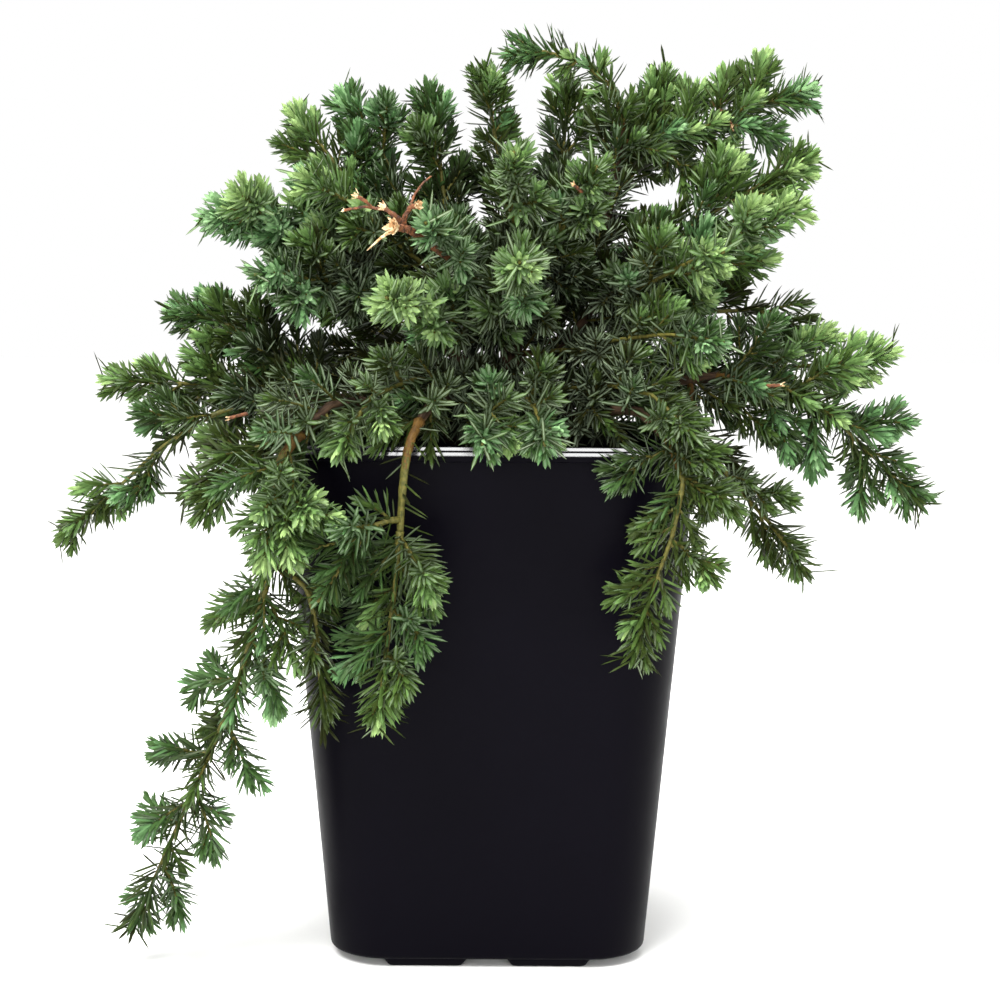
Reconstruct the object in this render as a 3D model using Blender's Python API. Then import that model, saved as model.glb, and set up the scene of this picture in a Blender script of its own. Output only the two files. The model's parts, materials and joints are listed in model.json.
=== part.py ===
"""A weeping shore juniper in a square nursery pot, as separate solids.

The solids are the pot, the potting mix, the trunk, the boughs and the masses of foliage. Metres,
+Z up. The origin is under the middle of the pot, on the level that its feet stand on. -Y is the
front.
"""

import math
import random
from collections import namedtuple

import bmesh
import bpy
from mathutils import Vector
from mathutils.bvhtree import BVHTree

MM = 0.001
UP = Vector((0, 0, 1))
GAP = 0.3 * MM

# Pot, outside
POT_HEIGHT = 177.5 * MM
RIM_WIDTH = 140 * MM
RIM_CORNER = 24 * MM
RIM_BAND = 5 * MM
RIM_STEP = 0.9 * MM
BASE_WIDTH = 108 * MM
BASE_CORNER = 17 * MM
BASE_ROUNDING = 3 * MM
WALL = 1.4 * MM
CORNER_STEPS = 4

# Feet, two to a side, and the drain slots between them
FOOT_HEIGHT = 3 * MM
FOOT_WIDTH = 28 * MM
FOOT_DRAFT = 2.6 * MM
FOOT_DEPTH = 14 * MM
FOOT_GAP = 13 * MM
SLOT_WIDTH = 3.4 * MM
SLOT_LENGTH = 16 * MM

# Potting mix
SOIL_BELOW_RIM = 16 * MM
SOIL_FALL = 2 * MM
GROUND = POT_HEIGHT - SOIL_BELOW_RIM

# Trunk
TRUNK_FOOT = Vector((2 * MM, 0, GROUND + GAP))
TRUNK_TIP = Vector((7 * MM, 3 * MM, GROUND + 78 * MM))
TRUNK_RADIUS = 5.6 * MM
TRUNK_TIP_RADIUS = 2.6 * MM
FLARE_RADIUS = 9.5 * MM
FLARE_HEIGHT = 9 * MM
STRAIGHT_START = 2 * MM
LIMB_SIDES = 6
TRUNK_SIDES = 10
LIMB_STEPS = 7

# Foliage
STEM_RADIUS = 1.1 * MM
STEM_TIP_RADIUS = 0.6 * MM
STEM_SIDES = 3
STEM_STEPS = 5
CORE_RADIUS = 1.9 * MM
NEEDLE_OUT = 7.4 * MM
NEEDLE_FORWARD = 6 * MM
WHORL_SPACING = 9.1 * MM
LEAD_LENGTH = 17 * MM
LEADER_OVERLAP = 2 * MM
BARE_AT_BOUGH_TIP = 0.05
BARE_AT_SIDE = 0.28
SHORTEST_SHOOT = 0.62
SHOOT_BEND = 0.25

# Azimuth is in degrees from +X, anticlockwise seen from above, so 270 is the front. Reach is from
# the pot's axis and height from the level that the pot stands on, both in millimetres. Pitch is
# the slope of the tip in degrees. Back is how far behind its parent's tip a limb leaves it, in
# millimetres: 0 grows on from the end.
Bough = namedtuple("Bough", "name parent back azimuth reach height pitch thickness")
BOUGHS = (
    Bough("bough_left_low", "trunk", 68, 232, 97, 182, -45, 4.4),
    Bough("bough_left_hanging", "bough_left_low", 0, 226, 103, 132, -70, 3.2),
    Bough("bough_front_left", "trunk", 61, 254, 80, 186, -40, 4.0),
    Bough("bough_front_hanging", "bough_front_left", 0, 252, 90, 152, -84, 2.8),
    Bough("bough_left", "trunk", 54, 196, 72, 190, 0, 4.4),
    Bough("bough_upper_left", "trunk", 40, 196, 48, 239, 35, 4.0),
    Bough("bough_top_right", "trunk", 22, 355, 45, 283, 80, 3.8),
    Bough("bough_right", "trunk", 38, 340, 50, 234, 25, 4.0),
    Bough("bough_right_low", "trunk", 58, 335, 84, 199, 0, 4.6),
    Bough("bough_front_right", "trunk", 66, 307, 92, 182, -45, 4.2),
    Bough("bough_back_right", "trunk", 62, 48, 66, 200, 5, 4.4),
    Bough("bough_back_left", "trunk", 56, 128, 66, 204, 5, 4.4),
)

# Shoots is how many side shoots the stem carries, and length how long the lowest of them is, in
# millimetres. Ranks says where they stand round the stem, in degrees: the turn of the first, the
# turn from each to the next, and the angle that they make with the stem.
Ranks = namedtuple("Ranks", "first turn angle")
SPIRAL = Ranks(0, 137.5, 48)
TWO_SIDES = Ranks(0, 180, 66)
ABOVE_AND_BELOW = Ranks(90, 180, 64)

Foliage = namedtuple("Foliage", "name parent back azimuth reach height pitch shoots length ranks")
FOLIAGE = (
    Foliage("foliage_cascade", "bough_left_hanging", 0, 203, 130, 12, -66, 9, 33, ABOVE_AND_BELOW),
    Foliage("foliage_left_corner", "bough_left_low", 3, 203, 111, 158, -35, 4, 28, SPIRAL),
    Foliage("foliage_front_left", "bough_left_hanging", 30, 238, 116, 143, -60, 4, 26, SPIRAL),
    Foliage("foliage_pot_edge", "bough_left_hanging", 8, 236, 94, 89, -80, 2, 18, TWO_SIDES),
    Foliage("foliage_front_hanging", "bough_front_hanging", 0, 250, 100, 91, -84, 7, 29, TWO_SIDES),
    Foliage("foliage_front_hanging_left", "bough_front_hanging", 3, 241, 109, 131, -45, 3, 20, SPIRAL),
    Foliage("foliage_left_long", "bough_left", 0, 188, 151, 140, -38, 5, 28, SPIRAL),
    Foliage("foliage_left_lifted", "bough_left", 3, 184, 136, 196, 8, 5, 28, SPIRAL),
    Foliage("foliage_left_middle", "bough_left", 7, 177, 115, 220, 8, 5, 28, SPIRAL),
    Foliage("foliage_upper_left", "bough_upper_left", 0, 201, 104, 251, 3, 6, 30, SPIRAL),
    Foliage("foliage_upper_left_back", "bough_upper_left", 3, 172, 73, 291, 38, 4, 28, SPIRAL),
    Foliage("foliage_upper_left_low", "bough_upper_left", 6, 218, 97, 232, -10, 4, 28, SPIRAL),
    Foliage("foliage_upper_left_front", "trunk", 15, 216, 78, 265, 15, 5, 28, SPIRAL),
    Foliage("foliage_top_middle", "trunk", 5, 177, 23, 299, 70, 4, 26, SPIRAL),
    Foliage("foliage_top_left", "trunk", 9, 175, 54, 297, 42, 6, 30, SPIRAL),
    Foliage("foliage_top_upright", "trunk", 0, 258, 12, 304, 82, 3, 18, SPIRAL),
    Foliage("foliage_arch", "bough_top_right", 0, 300, 9, 308, -20, 5, 9.5, ABOVE_AND_BELOW),
    Foliage("foliage_top_right", "bough_top_right", 3, 355, 112, 296, 0, 6, 27, ABOVE_AND_BELOW),
    Foliage("foliage_upper_right", "bough_top_right", 7, 15, 64, 307, 78, 4, 24, SPIRAL),
    Foliage("foliage_right_high", "bough_right", 0, 355, 112, 274, 25, 4, 28, SPIRAL),
    Foliage("foliage_right_bright", "bough_right", 3, 338, 112, 257, 8, 5, 28, SPIRAL),
    Foliage("foliage_right_front", "bough_right", 6, 318, 100, 240, 0, 4, 28, SPIRAL),
    Foliage("foliage_right_arching", "trunk", 30, 2, 118, 209, -50, 4, 27, SPIRAL),
    Foliage("foliage_right_long", "bough_right_low", 4, 343, 141, 208, 18, 4, 28, SPIRAL),
    Foliage("foliage_right_drooping", "bough_right_low", 0, 345, 151, 156, -42, 7, 30, ABOVE_AND_BELOW),
    Foliage("foliage_right_under", "bough_right_low", 8, 328, 122, 136, -55, 4, 27, SPIRAL),
    Foliage("foliage_right_hanging", "bough_front_right", 0, 297, 100, 112, -75, 6, 25, TWO_SIDES),
    Foliage("foliage_front_right", "trunk", 34, 311, 111, 212, -10, 4, 28, SPIRAL),
    Foliage("foliage_front_right_low", "trunk", 47, 305, 111, 183, -40, 4, 26, SPIRAL),
    Foliage("foliage_front_low_left", "trunk", 57, 269, 107, 181, -30, 4, 24, SPIRAL),
    Foliage("foliage_front_low_right", "trunk", 51, 279, 108, 181, -30, 4, 27, SPIRAL),
    Foliage("foliage_front_rim_left", "trunk", 47, 245, 111, 177, -55, 4, 24, SPIRAL),
    Foliage("foliage_front_bright", "trunk", 28, 252, 102, 225, 5, 5, 26, SPIRAL),
    Foliage("foliage_front_star", "trunk", 24, 275, 103, 236, 5, 4, 26, SPIRAL),
    Foliage("foliage_front_upper_left", "trunk", 18, 257, 89, 248, 10, 4, 26, SPIRAL),
    Foliage("foliage_front_top_right", "trunk", 12, 298, 72, 267, 25, 4, 26, SPIRAL),
    Foliage("foliage_front_top", "trunk", 7, 276, 69, 271, 30, 4, 26, SPIRAL),
    Foliage("foliage_back_top", "trunk", 10, 52, 45, 305, 72, 5, 28, SPIRAL),
    Foliage("foliage_back_middle", "trunk", 27, 88, 96, 228, 0, 4, 28, SPIRAL),
    Foliage("foliage_back_left_low", "bough_back_left", 0, 143, 114, 168, -40, 3, 29, SPIRAL),
    Foliage("foliage_back_left", "bough_back_left", 3, 118, 112, 202, 0, 4, 29, SPIRAL),
    Foliage("foliage_back_left_high", "bough_back_left", 6, 145, 97, 244, 30, 4, 29, SPIRAL),
    Foliage("foliage_back_low", "bough_back_right", 6, 82, 106, 160, -45, 3, 29, SPIRAL),
    Foliage("foliage_back_right", "bough_back_right", 0, 38, 120, 186, -20, 4, 29, SPIRAL),
    Foliage("foliage_back_right_high", "bough_back_right", 3, 52, 102, 240, 30, 4, 29, SPIRAL),
)

Limb = namedtuple("Limb", "points radii")


def polar(azimuth, reach, height):
    """The point at this azimuth, reach and height, in metres."""
    turn = math.radians(azimuth)
    return Vector((reach * MM * math.cos(turn), reach * MM * math.sin(turn), height * MM))


def lerp(a, b, share):
    return a + (b - a) * share


def bezier(start, leaving, end, arriving, steps):
    """Points along a smooth curve that leaves start and reaches end in the directions given."""
    pull = (end - start).length * 0.38
    first, second = start + leaving * pull, end - arriving * pull
    points = []
    for i in range(steps + 1):
        t = i / steps
        points.append(
            start * (1 - t) ** 3 + first * 3 * t * (1 - t) ** 2 + second * 3 * t * t * (1 - t) + end * t**3
        )
    return points


def heading_of(direction):
    flat = Vector((direction.x, direction.y, 0))
    return flat.normalized() if flat.length > 1e-6 else Vector((1, 0, 0))


def at_share(points, share):
    """The point at a share of the way along a line of points, counted in steps."""
    place = min(max(share, 0), 1) * (len(points) - 1)
    i = min(int(place), len(points) - 2)
    return lerp(points[i], points[i + 1], place - i)


def tangent_at(points, share):
    step = 0.5 / (len(points) - 1)
    return (at_share(points, share + step) - at_share(points, share - step)).normalized()


def length_of(points):
    return sum((b - a).length for a, b in zip(points, points[1:]))


def seat_on(parent, back, toward, radius):
    """Where a limb leaves its parent and which way: on from the tip, or square out of the side."""
    if back == 0:
        leaving = (parent.points[-1] - parent.points[-2]).normalized()
        return parent.points[-1] + leaving * GAP, leaving
    length = length_of(parent.points)
    share = 1 - back * MM / length
    centre, along = at_share(parent.points, share), tangent_at(parent.points, share)
    out = toward - centre
    out = (out - along * out.dot(along)).normalized()
    nearby = [at_share(parent.radii, share + side * 1.6 * radius / length) for side in (-1, 0, 1)]
    return centre + out * (max(nearby) + GAP), out


def grow_limb(parent, row, base_radius, tip_radius, steps):
    """A tapering limb from its parent to the tip that the row gives."""
    tip = polar(row.azimuth, row.reach, row.height)
    start, leaving = seat_on(parent, row.back, tip, base_radius)
    pitch = math.radians(row.pitch)
    arriving = heading_of(tip - start) * math.cos(pitch) + UP * math.sin(pitch)
    points = [start] + bezier(start + leaving * STRAIGHT_START, leaving, tip, arriving, steps - 1)
    radii = [lerp(base_radius, tip_radius, i / steps) for i in range(steps + 1)]
    return Limb(points, radii)


def tube(limb, sides):
    """Vertices and faces of a closed tube round a limb's line, square to it at both ends."""
    points, radii = limb
    last = len(points) - 1
    across = (points[1] - points[0]).orthogonal().normalized()
    vertices = []
    for i, (point, radius) in enumerate(zip(points, radii)):
        along = (points[min(i + 1, last)] - points[max(i - 1, 0)]).normalized()
        across = (across - along * across.dot(along)).normalized()
        beside = along.cross(across)
        for k in range(sides):
            turn = 2 * math.pi * k / sides
            vertices.append(point + (across * math.cos(turn) + beside * math.sin(turn)) * radius)
    faces = [tuple(reversed(range(sides))), tuple(range(last * sides, (last + 1) * sides))]
    for i in range(last):
        for k in range(sides):
            a, b = i * sides + k, i * sides + (k + 1) % sides
            faces.append((a, b, b + sides, a + sides))
    return vertices, faces


def add_object(name, vertices, faces, material, collection=None):
    mesh = bpy.data.meshes.new(name)
    mesh.from_pydata([tuple(v) for v in vertices], [], faces)
    mesh.materials.append(material)
    mesh.update()
    obj = bpy.data.objects.new(name, mesh)
    (collection or bpy.context.scene.collection).objects.link(obj)
    return obj


def make_material(name, colour, roughness):
    material = bpy.data.materials.new(name)
    material.use_nodes = True
    shader = material.node_tree.nodes["Principled BSDF"]
    shader.inputs["Base Color"].default_value = (*colour, 1)
    shader.inputs["Roughness"].default_value = roughness
    shader.inputs["Metallic"].default_value = 0
    return material


def join_all(obj, others):
    """Fuses a collection of objects into obj with one Boolean union, and removes them."""
    union = obj.modifiers.new("union", "BOOLEAN")
    union.operation = "UNION"
    union.operand_type = "COLLECTION"
    union.collection = others
    union.solver = "EXACT"
    graph = bpy.context.evaluated_depsgraph_get()
    joined = bpy.data.meshes.new_from_object(obj.evaluated_get(graph))
    obj.modifiers.clear()
    obj.data = joined
    for other in list(others.objects):
        bpy.data.objects.remove(other)
    bpy.data.collections.remove(others)


def keep_largest_body(obj):
    """Drops any loose scrap that a union left beside the body itself, and any sealed hollow inside it."""
    shape = bmesh.new()
    shape.from_mesh(obj.data)
    bodies, seen = [], set()
    for first in shape.verts:
        if first in seen:
            continue
        seen.add(first)
        body, edge_of_search = [], [first]
        while edge_of_search:
            vertex = edge_of_search.pop()
            body.append(vertex)
            for edge in vertex.link_edges:
                other = edge.other_vert(vertex)
                if other not in seen:
                    seen.add(other)
                    edge_of_search.append(other)
        bodies.append(body)
    bodies.sort(key=len)
    for body in bodies[:-1]:
        print(obj.name, "drops a scrap of", len(body), "points")
        bmesh.ops.delete(shape, geom=body, context="VERTS")
    shape.to_mesh(obj.data)
    shape.free()


def helper_collection(name):
    made = bpy.data.collections.new(name)
    bpy.context.scene.collection.children.link(made)
    return made


def rounded_square(half, corner, height):
    """A ring of points round a square with round corners."""
    ring = []
    for quarter in range(4):
        for step in range(CORNER_STEPS + 1):
            turn = math.pi / 2 * (quarter + step / CORNER_STEPS)
            centre_turn = math.pi / 2 * quarter + math.pi / 4
            middle = (half - corner) * math.sqrt(2)
            ring.append(
                Vector(
                    (
                        middle * math.cos(centre_turn) + corner * math.cos(turn),
                        middle * math.sin(centre_turn) + corner * math.sin(turn),
                        height,
                    )
                )
            )
    return ring


def stack_rings(rings):
    """Closes a stack of like rings into one solid, capped at the first and the last."""
    count = len(rings[0])
    vertices = [point for ring in rings for point in ring]
    faces = [tuple(reversed(range(count))), tuple(range(len(vertices) - count, len(vertices)))]
    for r in range(len(rings) - 1):
        for k in range(count):
            a, b = r * count + k, r * count + (k + 1) % count
            faces.append((a, b, b + count, a + count))
    return vertices, faces


def wall_half(height):
    """Half the pot's width outside, on the plain wall at this height."""
    share = (height - FOOT_HEIGHT) / (POT_HEIGHT - FOOT_HEIGHT)
    return lerp(BASE_WIDTH / 2, RIM_WIDTH / 2 - RIM_STEP, share)


def wall_corner(height):
    share = (height - FOOT_HEIGHT) / (POT_HEIGHT - FOOT_HEIGHT)
    return lerp(BASE_CORNER, RIM_CORNER, share)


def wall_ring(height, inset=0.0):
    """A ring at this height, inset from the plain wall's outside."""
    return rounded_square(wall_half(height) - inset, wall_corner(height) - inset, height)


def build_pot(material):
    """The tapering shell with its rim band, rounded foot edge, floor, eight feet and drain slots."""
    band_foot = POT_HEIGHT - RIM_BAND
    rim_half, lip = RIM_WIDTH / 2, 0.8 * MM
    floor = FOOT_HEIGHT + WALL
    rings = [
        wall_ring(FOOT_HEIGHT, BASE_ROUNDING),
        wall_ring(FOOT_HEIGHT + BASE_ROUNDING * 0.3, BASE_ROUNDING * 0.29),
        wall_ring(FOOT_HEIGHT + BASE_ROUNDING),
        wall_ring(band_foot),
        rounded_square(rim_half, RIM_CORNER, band_foot + RIM_STEP / 2),
        rounded_square(rim_half, RIM_CORNER, POT_HEIGHT - lip),
        rounded_square(rim_half - lip, RIM_CORNER - lip, POT_HEIGHT),
        rounded_square(rim_half - RIM_STEP - WALL, RIM_CORNER - RIM_STEP - WALL, POT_HEIGHT),
        wall_ring(band_foot, WALL),
        wall_ring(floor + BASE_ROUNDING, WALL),
        wall_ring(floor, WALL + BASE_ROUNDING),
    ]
    pot = add_object("pot", *stack_rings(rings), material)
    feet = helper_collection("feet")
    for side in range(4):
        for hand in (-1, 1):
            add_object("foot", *foot_shape(side, hand), material, feet)
    join_all(pot, feet)
    cut_slots(pot)
    return pot


def foot_shape(side, hand):
    """One foot: a block under the wall, flush with it outside, narrower at its sole."""
    turn = math.pi / 2 * side
    out = Vector((math.cos(turn), math.sin(turn), 0))
    beside = Vector((-out.y, out.x, 0))
    middle = beside * hand * (FOOT_GAP + FOOT_WIDTH) / 2
    top_face = BASE_WIDTH / 2 - BASE_ROUNDING * 0.6
    sole_face = BASE_WIDTH / 2 - BASE_ROUNDING
    rings = []
    for height, half_width, face in (
        (0, FOOT_WIDTH / 2 - FOOT_DRAFT, sole_face),
        (FOOT_HEIGHT + WALL / 2, FOOT_WIDTH / 2, top_face),
    ):
        back = BASE_WIDTH / 2 - FOOT_DEPTH
        corners = ((face, -half_width), (face, half_width), (back, half_width), (back, -half_width))
        rings.append([middle + out * depth + beside * across + UP * height for depth, across in corners])
    return stack_rings(rings)


def cut_slots(pot):
    """Four drain slots through the floor, one in the gap between each pair of feet."""
    cutter_low, cutter_high = FOOT_HEIGHT - 1 * MM, FOOT_HEIGHT + WALL + 1 * MM
    vertices, faces = [], []
    for side in range(4):
        turn = math.pi / 2 * side
        out = Vector((math.cos(turn), math.sin(turn), 0))
        beside = Vector((-out.y, out.x, 0))
        outer = BASE_WIDTH / 2 - 8 * MM
        depths = (outer - SLOT_LENGTH, outer)
        ring = [
            out * depths[0] - beside * SLOT_WIDTH / 2,
            out * depths[1] - beside * SLOT_WIDTH / 2,
            out * depths[1] + beside * SLOT_WIDTH / 2,
            out * depths[0] + beside * SLOT_WIDTH / 2,
        ]
        rings = [[p + UP * cutter_low for p in ring], [p + UP * cutter_high for p in ring]]
        block_vertices, block_faces = stack_rings(rings)
        faces += [tuple(i + len(vertices) for i in face) for face in block_faces]
        vertices += block_vertices
    cutter = add_object("slot_cutter", vertices, faces, pot.data.materials[0])
    cut = pot.modifiers.new("slots", "BOOLEAN")
    cut.operation = "DIFFERENCE"
    cut.object = cutter
    cut.solver = "EXACT"
    graph = bpy.context.evaluated_depsgraph_get()
    pot.data = bpy.data.meshes.new_from_object(pot.evaluated_get(graph))
    pot.modifiers.clear()
    bpy.data.objects.remove(cutter)


def build_soil(material):
    """The potting mix: it fills the pot, level round the trunk and lower at the wall."""
    inset = WALL + GAP
    low = FOOT_HEIGHT + WALL + GAP
    edge = GROUND - SOIL_FALL
    level_share = 0.55
    rings = [
        wall_ring(low, inset + BASE_ROUNDING),
        wall_ring(low + BASE_ROUNDING, inset),
        wall_ring(edge, inset),
        rounded_square(wall_half(GROUND) * level_share, wall_corner(GROUND) * level_share, GROUND),
    ]
    return add_object("potting_mix", *stack_rings(rings), material)


def trunk_limb():
    """The leaning trunk: a flared foot, a slow taper, and a line that swings a little on its way up."""
    leaving = Vector((0.18, -0.06, 1)).normalized()
    arriving = Vector((-0.05, 0.12, 1)).normalized()
    steps = 10
    points = bezier(TRUNK_FOOT, leaving, TRUNK_TIP, arriving, steps)
    points[0].z = TRUNK_FOOT.z
    radii = []
    for point in points:
        height = point.z - TRUNK_FOOT.z
        share = height / (TRUNK_TIP.z - TRUNK_FOOT.z)
        flare = (FLARE_RADIUS - TRUNK_RADIUS) * math.exp(-2.2 * height / FLARE_HEIGHT)
        radii.append(lerp(TRUNK_RADIUS, TRUNK_TIP_RADIUS, share) + flare)
    return Limb(points, radii)


def build_trunk(limb, material):
    """The trunk's solid, cut flat and level where it leaves the potting mix."""
    vertices, faces = tube(limb, TRUNK_SIDES)
    for vertex in vertices[:TRUNK_SIDES]:
        vertex.z = TRUNK_FOOT.z
    return add_object("trunk", vertices, faces, material)


def leader_share(stem):
    """How far along its line, as a share, a stem becomes the leader: the shoot that ends it."""
    length = length_of(stem.points)
    return 1 - min(LEAD_LENGTH, 0.75 * length) / length


def shoots_of(stem, row):
    """The shoots of one mass, as lines of points: the leader that ends the stem, and the side shoots along it."""
    rng = random.Random(row.name)
    leader = leader_share(stem)
    steps = shoot_steps((1 - leader) * length_of(stem.points))
    shoots = [[at_share(stem.points, lerp(leader, 1, i / steps)) for i in range(steps + 1)]]
    heading = heading_of(stem.points[-1] - stem.points[0])
    beside = UP.cross(heading)
    first_turn = rng.uniform(-20, 20)
    for i in range(row.shoots):
        bare = BARE_AT_BOUGH_TIP if row.back == 0 else BARE_AT_SIDE
        share = lerp(bare, leader, (i + 0.6) / row.shoots)
        along = tangent_at(stem.points, share)
        over = along.cross(beside).normalized()
        turn = math.radians(first_turn + row.ranks.first + row.ranks.turn * i + rng.uniform(-14, 14))
        out = beside * math.cos(turn) - over * math.sin(turn)
        angle = math.radians(row.ranks.angle + rng.uniform(-8, 8))
        leaving = along * math.cos(angle) + out * math.sin(angle)
        reach = row.length * MM * lerp(1, SHORTEST_SHOOT, share) * rng.uniform(0.88, 1.12)
        start = at_share(stem.points, share)
        bent = (leaving + along * SHOOT_BEND).normalized()
        steps = shoot_steps(reach)
        shoots.append(
            [start + lerp(leaving, bent, j / steps).normalized() * reach * j / steps for j in range(steps + 1)]
        )
    return shoots


def shoot_steps(reach):
    return max(3, round(reach / WHORL_SPACING))


def shoot_core(points):
    """Vertices and faces of a slim core round a shoot. It has rings of three, each turned half a step."""
    last = len(points) - 1
    across = (points[1] - points[0]).orthogonal().normalized()
    vertices = []
    for i, point in enumerate(points[:-1]):
        along = (points[i + 1] - points[max(i - 1, 0)]).normalized()
        across = (across - along * across.dot(along)).normalized()
        beside = along.cross(across)
        radius = CORE_RADIUS * lerp(1, 0.7, i / last)
        for k in range(3):
            turn = 2 * math.pi * (k + 0.5 * (i % 2)) / 3
            vertices.append(point + (across * math.cos(turn) + beside * math.sin(turn)) * radius)
    vertices.append(points[-1])
    tip = len(vertices) - 1
    sides = []
    for i in range(last - 1):
        low, high = 3 * i, 3 * i + 3
        for k in range(3):
            after = (k + 1) % 3
            if i % 2 == 0:
                sides.append((low + k, low + after, high + k))
                sides.append((low + after, high + after, high + k))
            else:
                sides.append((low + k, low + after, high + after))
                sides.append((low + k, high + after, high + k))
    ends = [(2, 1, 0)] + [(tip - 3 + k, tip - 3 + (k + 1) % 3, tip) for k in range(3)]
    return vertices, sides, ends


def touched(points, faces, solids):
    """The name of the first solid that these faces touch, or None."""
    low = [min(p[axis] for p in points) for axis in range(3)]
    high = [max(p[axis] for p in points) for axis in range(3)]
    tree = None
    for name, (solid_low, solid_high, solid) in solids.items():
        if all(low[a] < solid_high[a] and high[a] > solid_low[a] for a in range(3)):
            tree = tree or BVHTree.FromPolygons(points, faces)
            if tree.overlap(solid):
                return name
    return None


def boxed(vertices, faces):
    """A solid kept for the tests above: its lowest and highest corner, and its tree of faces."""
    low = [min(v[axis] for v in vertices) for axis in range(3)]
    high = [max(v[axis] for v in vertices) for axis in range(3)]
    return low, high, BVHTree.FromPolygons([tuple(v) for v in vertices], faces)


def swollen(points, middle_of, by):
    """The points moved away from the nearest of a line of points, to leave a clearance."""
    moved = []
    for point in points:
        nearest = min(middle_of, key=lambda centre: (centre - point).length)
        moved.append(point + (point - nearest).normalized() * by)
    return moved


def needled_shoot(points, others, own):
    """A shoot's core with a needle raised on each side face, or None where the core would touch another solid.

    A needle that would touch another solid, or another shoot of the same mass, is left out.
    """
    vertices, sides, ends = shoot_core(points)
    if touched(swollen(vertices, points, 2 * GAP), sides + ends, others):
        return None
    outer, outer_sides, outer_ends = shoot_core(points[1:])
    if touched(outer, outer_sides + outer_ends, own):
        return None
    faces = list(ends)
    last = len(points) - 1
    for index, side in enumerate(sides):
        corners = [vertices[k] for k in side]
        base = (corners[0] + corners[1] + corners[2]) / 3
        whorl = index // 6
        along = (points[whorl + 1] - points[whorl]).normalized()
        out = (base - points[whorl]) - along * (base - points[whorl]).dot(along)
        share = (whorl + 0.5) / last
        tip = base + out.normalized() * NEEDLE_OUT * lerp(1, 0.5, share**2)
        tip += along * NEEDLE_FORWARD * lerp(0.8, 1.3, share)
        spread = [base + (corner - base) * 1.2 for corner in corners]
        trial = spread + [base + (tip - base) * 1.08]
        blades = [(0, 1, 3), (1, 2, 3), (2, 0, 3)]
        trial_above = [p + out.normalized() * 0.5 * MM for p in spread] + trial[3:]
        if touched(trial, blades, others) or touched(trial_above, blades, own):
            faces.append(side)
            continue
        vertices.append(tip)
        faces += [(side[0], side[1], len(vertices) - 1)]
        faces += [(side[1], side[2], len(vertices) - 1)]
        faces += [(side[2], side[0], len(vertices) - 1)]
    return vertices, faces


def stem_tube(stem, margin=0.0):
    """The stem's tube, which stops just inside its leader, with its radius enlarged by the margin."""
    end = leader_share(stem) + LEADER_OVERLAP / length_of(stem.points)
    shares = [i / STEM_STEPS for i in range(STEM_STEPS) if i / STEM_STEPS < end - 0.05] + [end]
    points = [at_share(stem.points, share) for share in shares]
    radii = [at_share(stem.radii, share) + margin for share in shares]
    return tube(Limb(points, radii), STEM_SIDES)


def build_foliage(row, stem, solids, material):
    """One mass: its stem with the needled shoots fused on, each kept clear of every other solid."""
    others = {name: solid for name, solid in solids.items() if name != row.name}
    mass = add_object(row.name, *stem_tube(stem), material)
    own = {"stem": boxed(*stem_tube(stem, GAP))}
    parts = helper_collection(row.name + "_shoots")
    for number, points in enumerate(shoots_of(stem, row)):
        made = needled_shoot(points, others, own if number else {})
        if made is None:
            print(row.name, "shoot", number, "left out")
            continue
        add_object("shoot", *made, material, parts)
        own[number] = boxed(*made)
    join_all(mass, parts)
    keep_largest_body(mass)
    return mass


def keep_solid(obj):
    """The finished object's surface, for the tests of what grows after it."""
    faces = [tuple(polygon.vertices) for polygon in obj.data.polygons]
    return boxed([v.co.copy() for v in obj.data.vertices], faces)


def main():
    for obj in list(bpy.data.objects):
        bpy.data.objects.remove(obj)
    black = make_material("black_polypropylene", (0.010, 0.010, 0.014), 0.35)
    mix = make_material("bark_potting_mix", (0.040, 0.026, 0.017), 0.95)
    bark = make_material("juniper_bark", (0.130, 0.060, 0.032), 0.85)
    green_wood = make_material("young_juniper_wood", (0.230, 0.160, 0.040), 0.75)
    leaf = make_material("juniper_needles", (0.050, 0.140, 0.052), 0.55)

    limbs = {"trunk": trunk_limb()}
    solids = {
        "pot": keep_solid(build_pot(black)),
        "potting_mix": keep_solid(build_soil(mix)),
        "trunk": keep_solid(build_trunk(limbs["trunk"], bark)),
    }
    for row in BOUGHS:
        base, tip = row.thickness / 2 * MM, row.thickness * 0.36 * MM
        limb = grow_limb(limbs[row.parent], row, base, tip, LIMB_STEPS)
        shape = tube(limb, LIMB_SIDES)
        if touched(*shape, solids):
            print(row.name, "touches", touched(*shape, solids))
        wood = green_wood if row.name.endswith("hanging") else bark
        limbs[row.name] = limb
        solids[row.name] = keep_solid(add_object(row.name, *shape, wood))
    for row in FOLIAGE:
        limbs[row.name] = grow_limb(limbs[row.parent], row, STEM_RADIUS, STEM_TIP_RADIUS, STEM_STEPS)
        shape = stem_tube(limbs[row.name])
        if touched(*shape, solids):
            print(row.name, "stem touches", touched(*shape, solids))
        solids[row.name] = boxed(*stem_tube(limbs[row.name], GAP))
    for row in FOLIAGE:
        solids[row.name] = keep_solid(build_foliage(row, limbs[row.name], solids, leaf))


main()
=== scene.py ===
import functools
import json
import math
import random
from collections import namedtuple

import bpy
import numpy as np
from bpy.props import FloatProperty, FloatVectorProperty, IntProperty, PointerProperty
from mathutils import Euler, Matrix, Vector, noise

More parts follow.
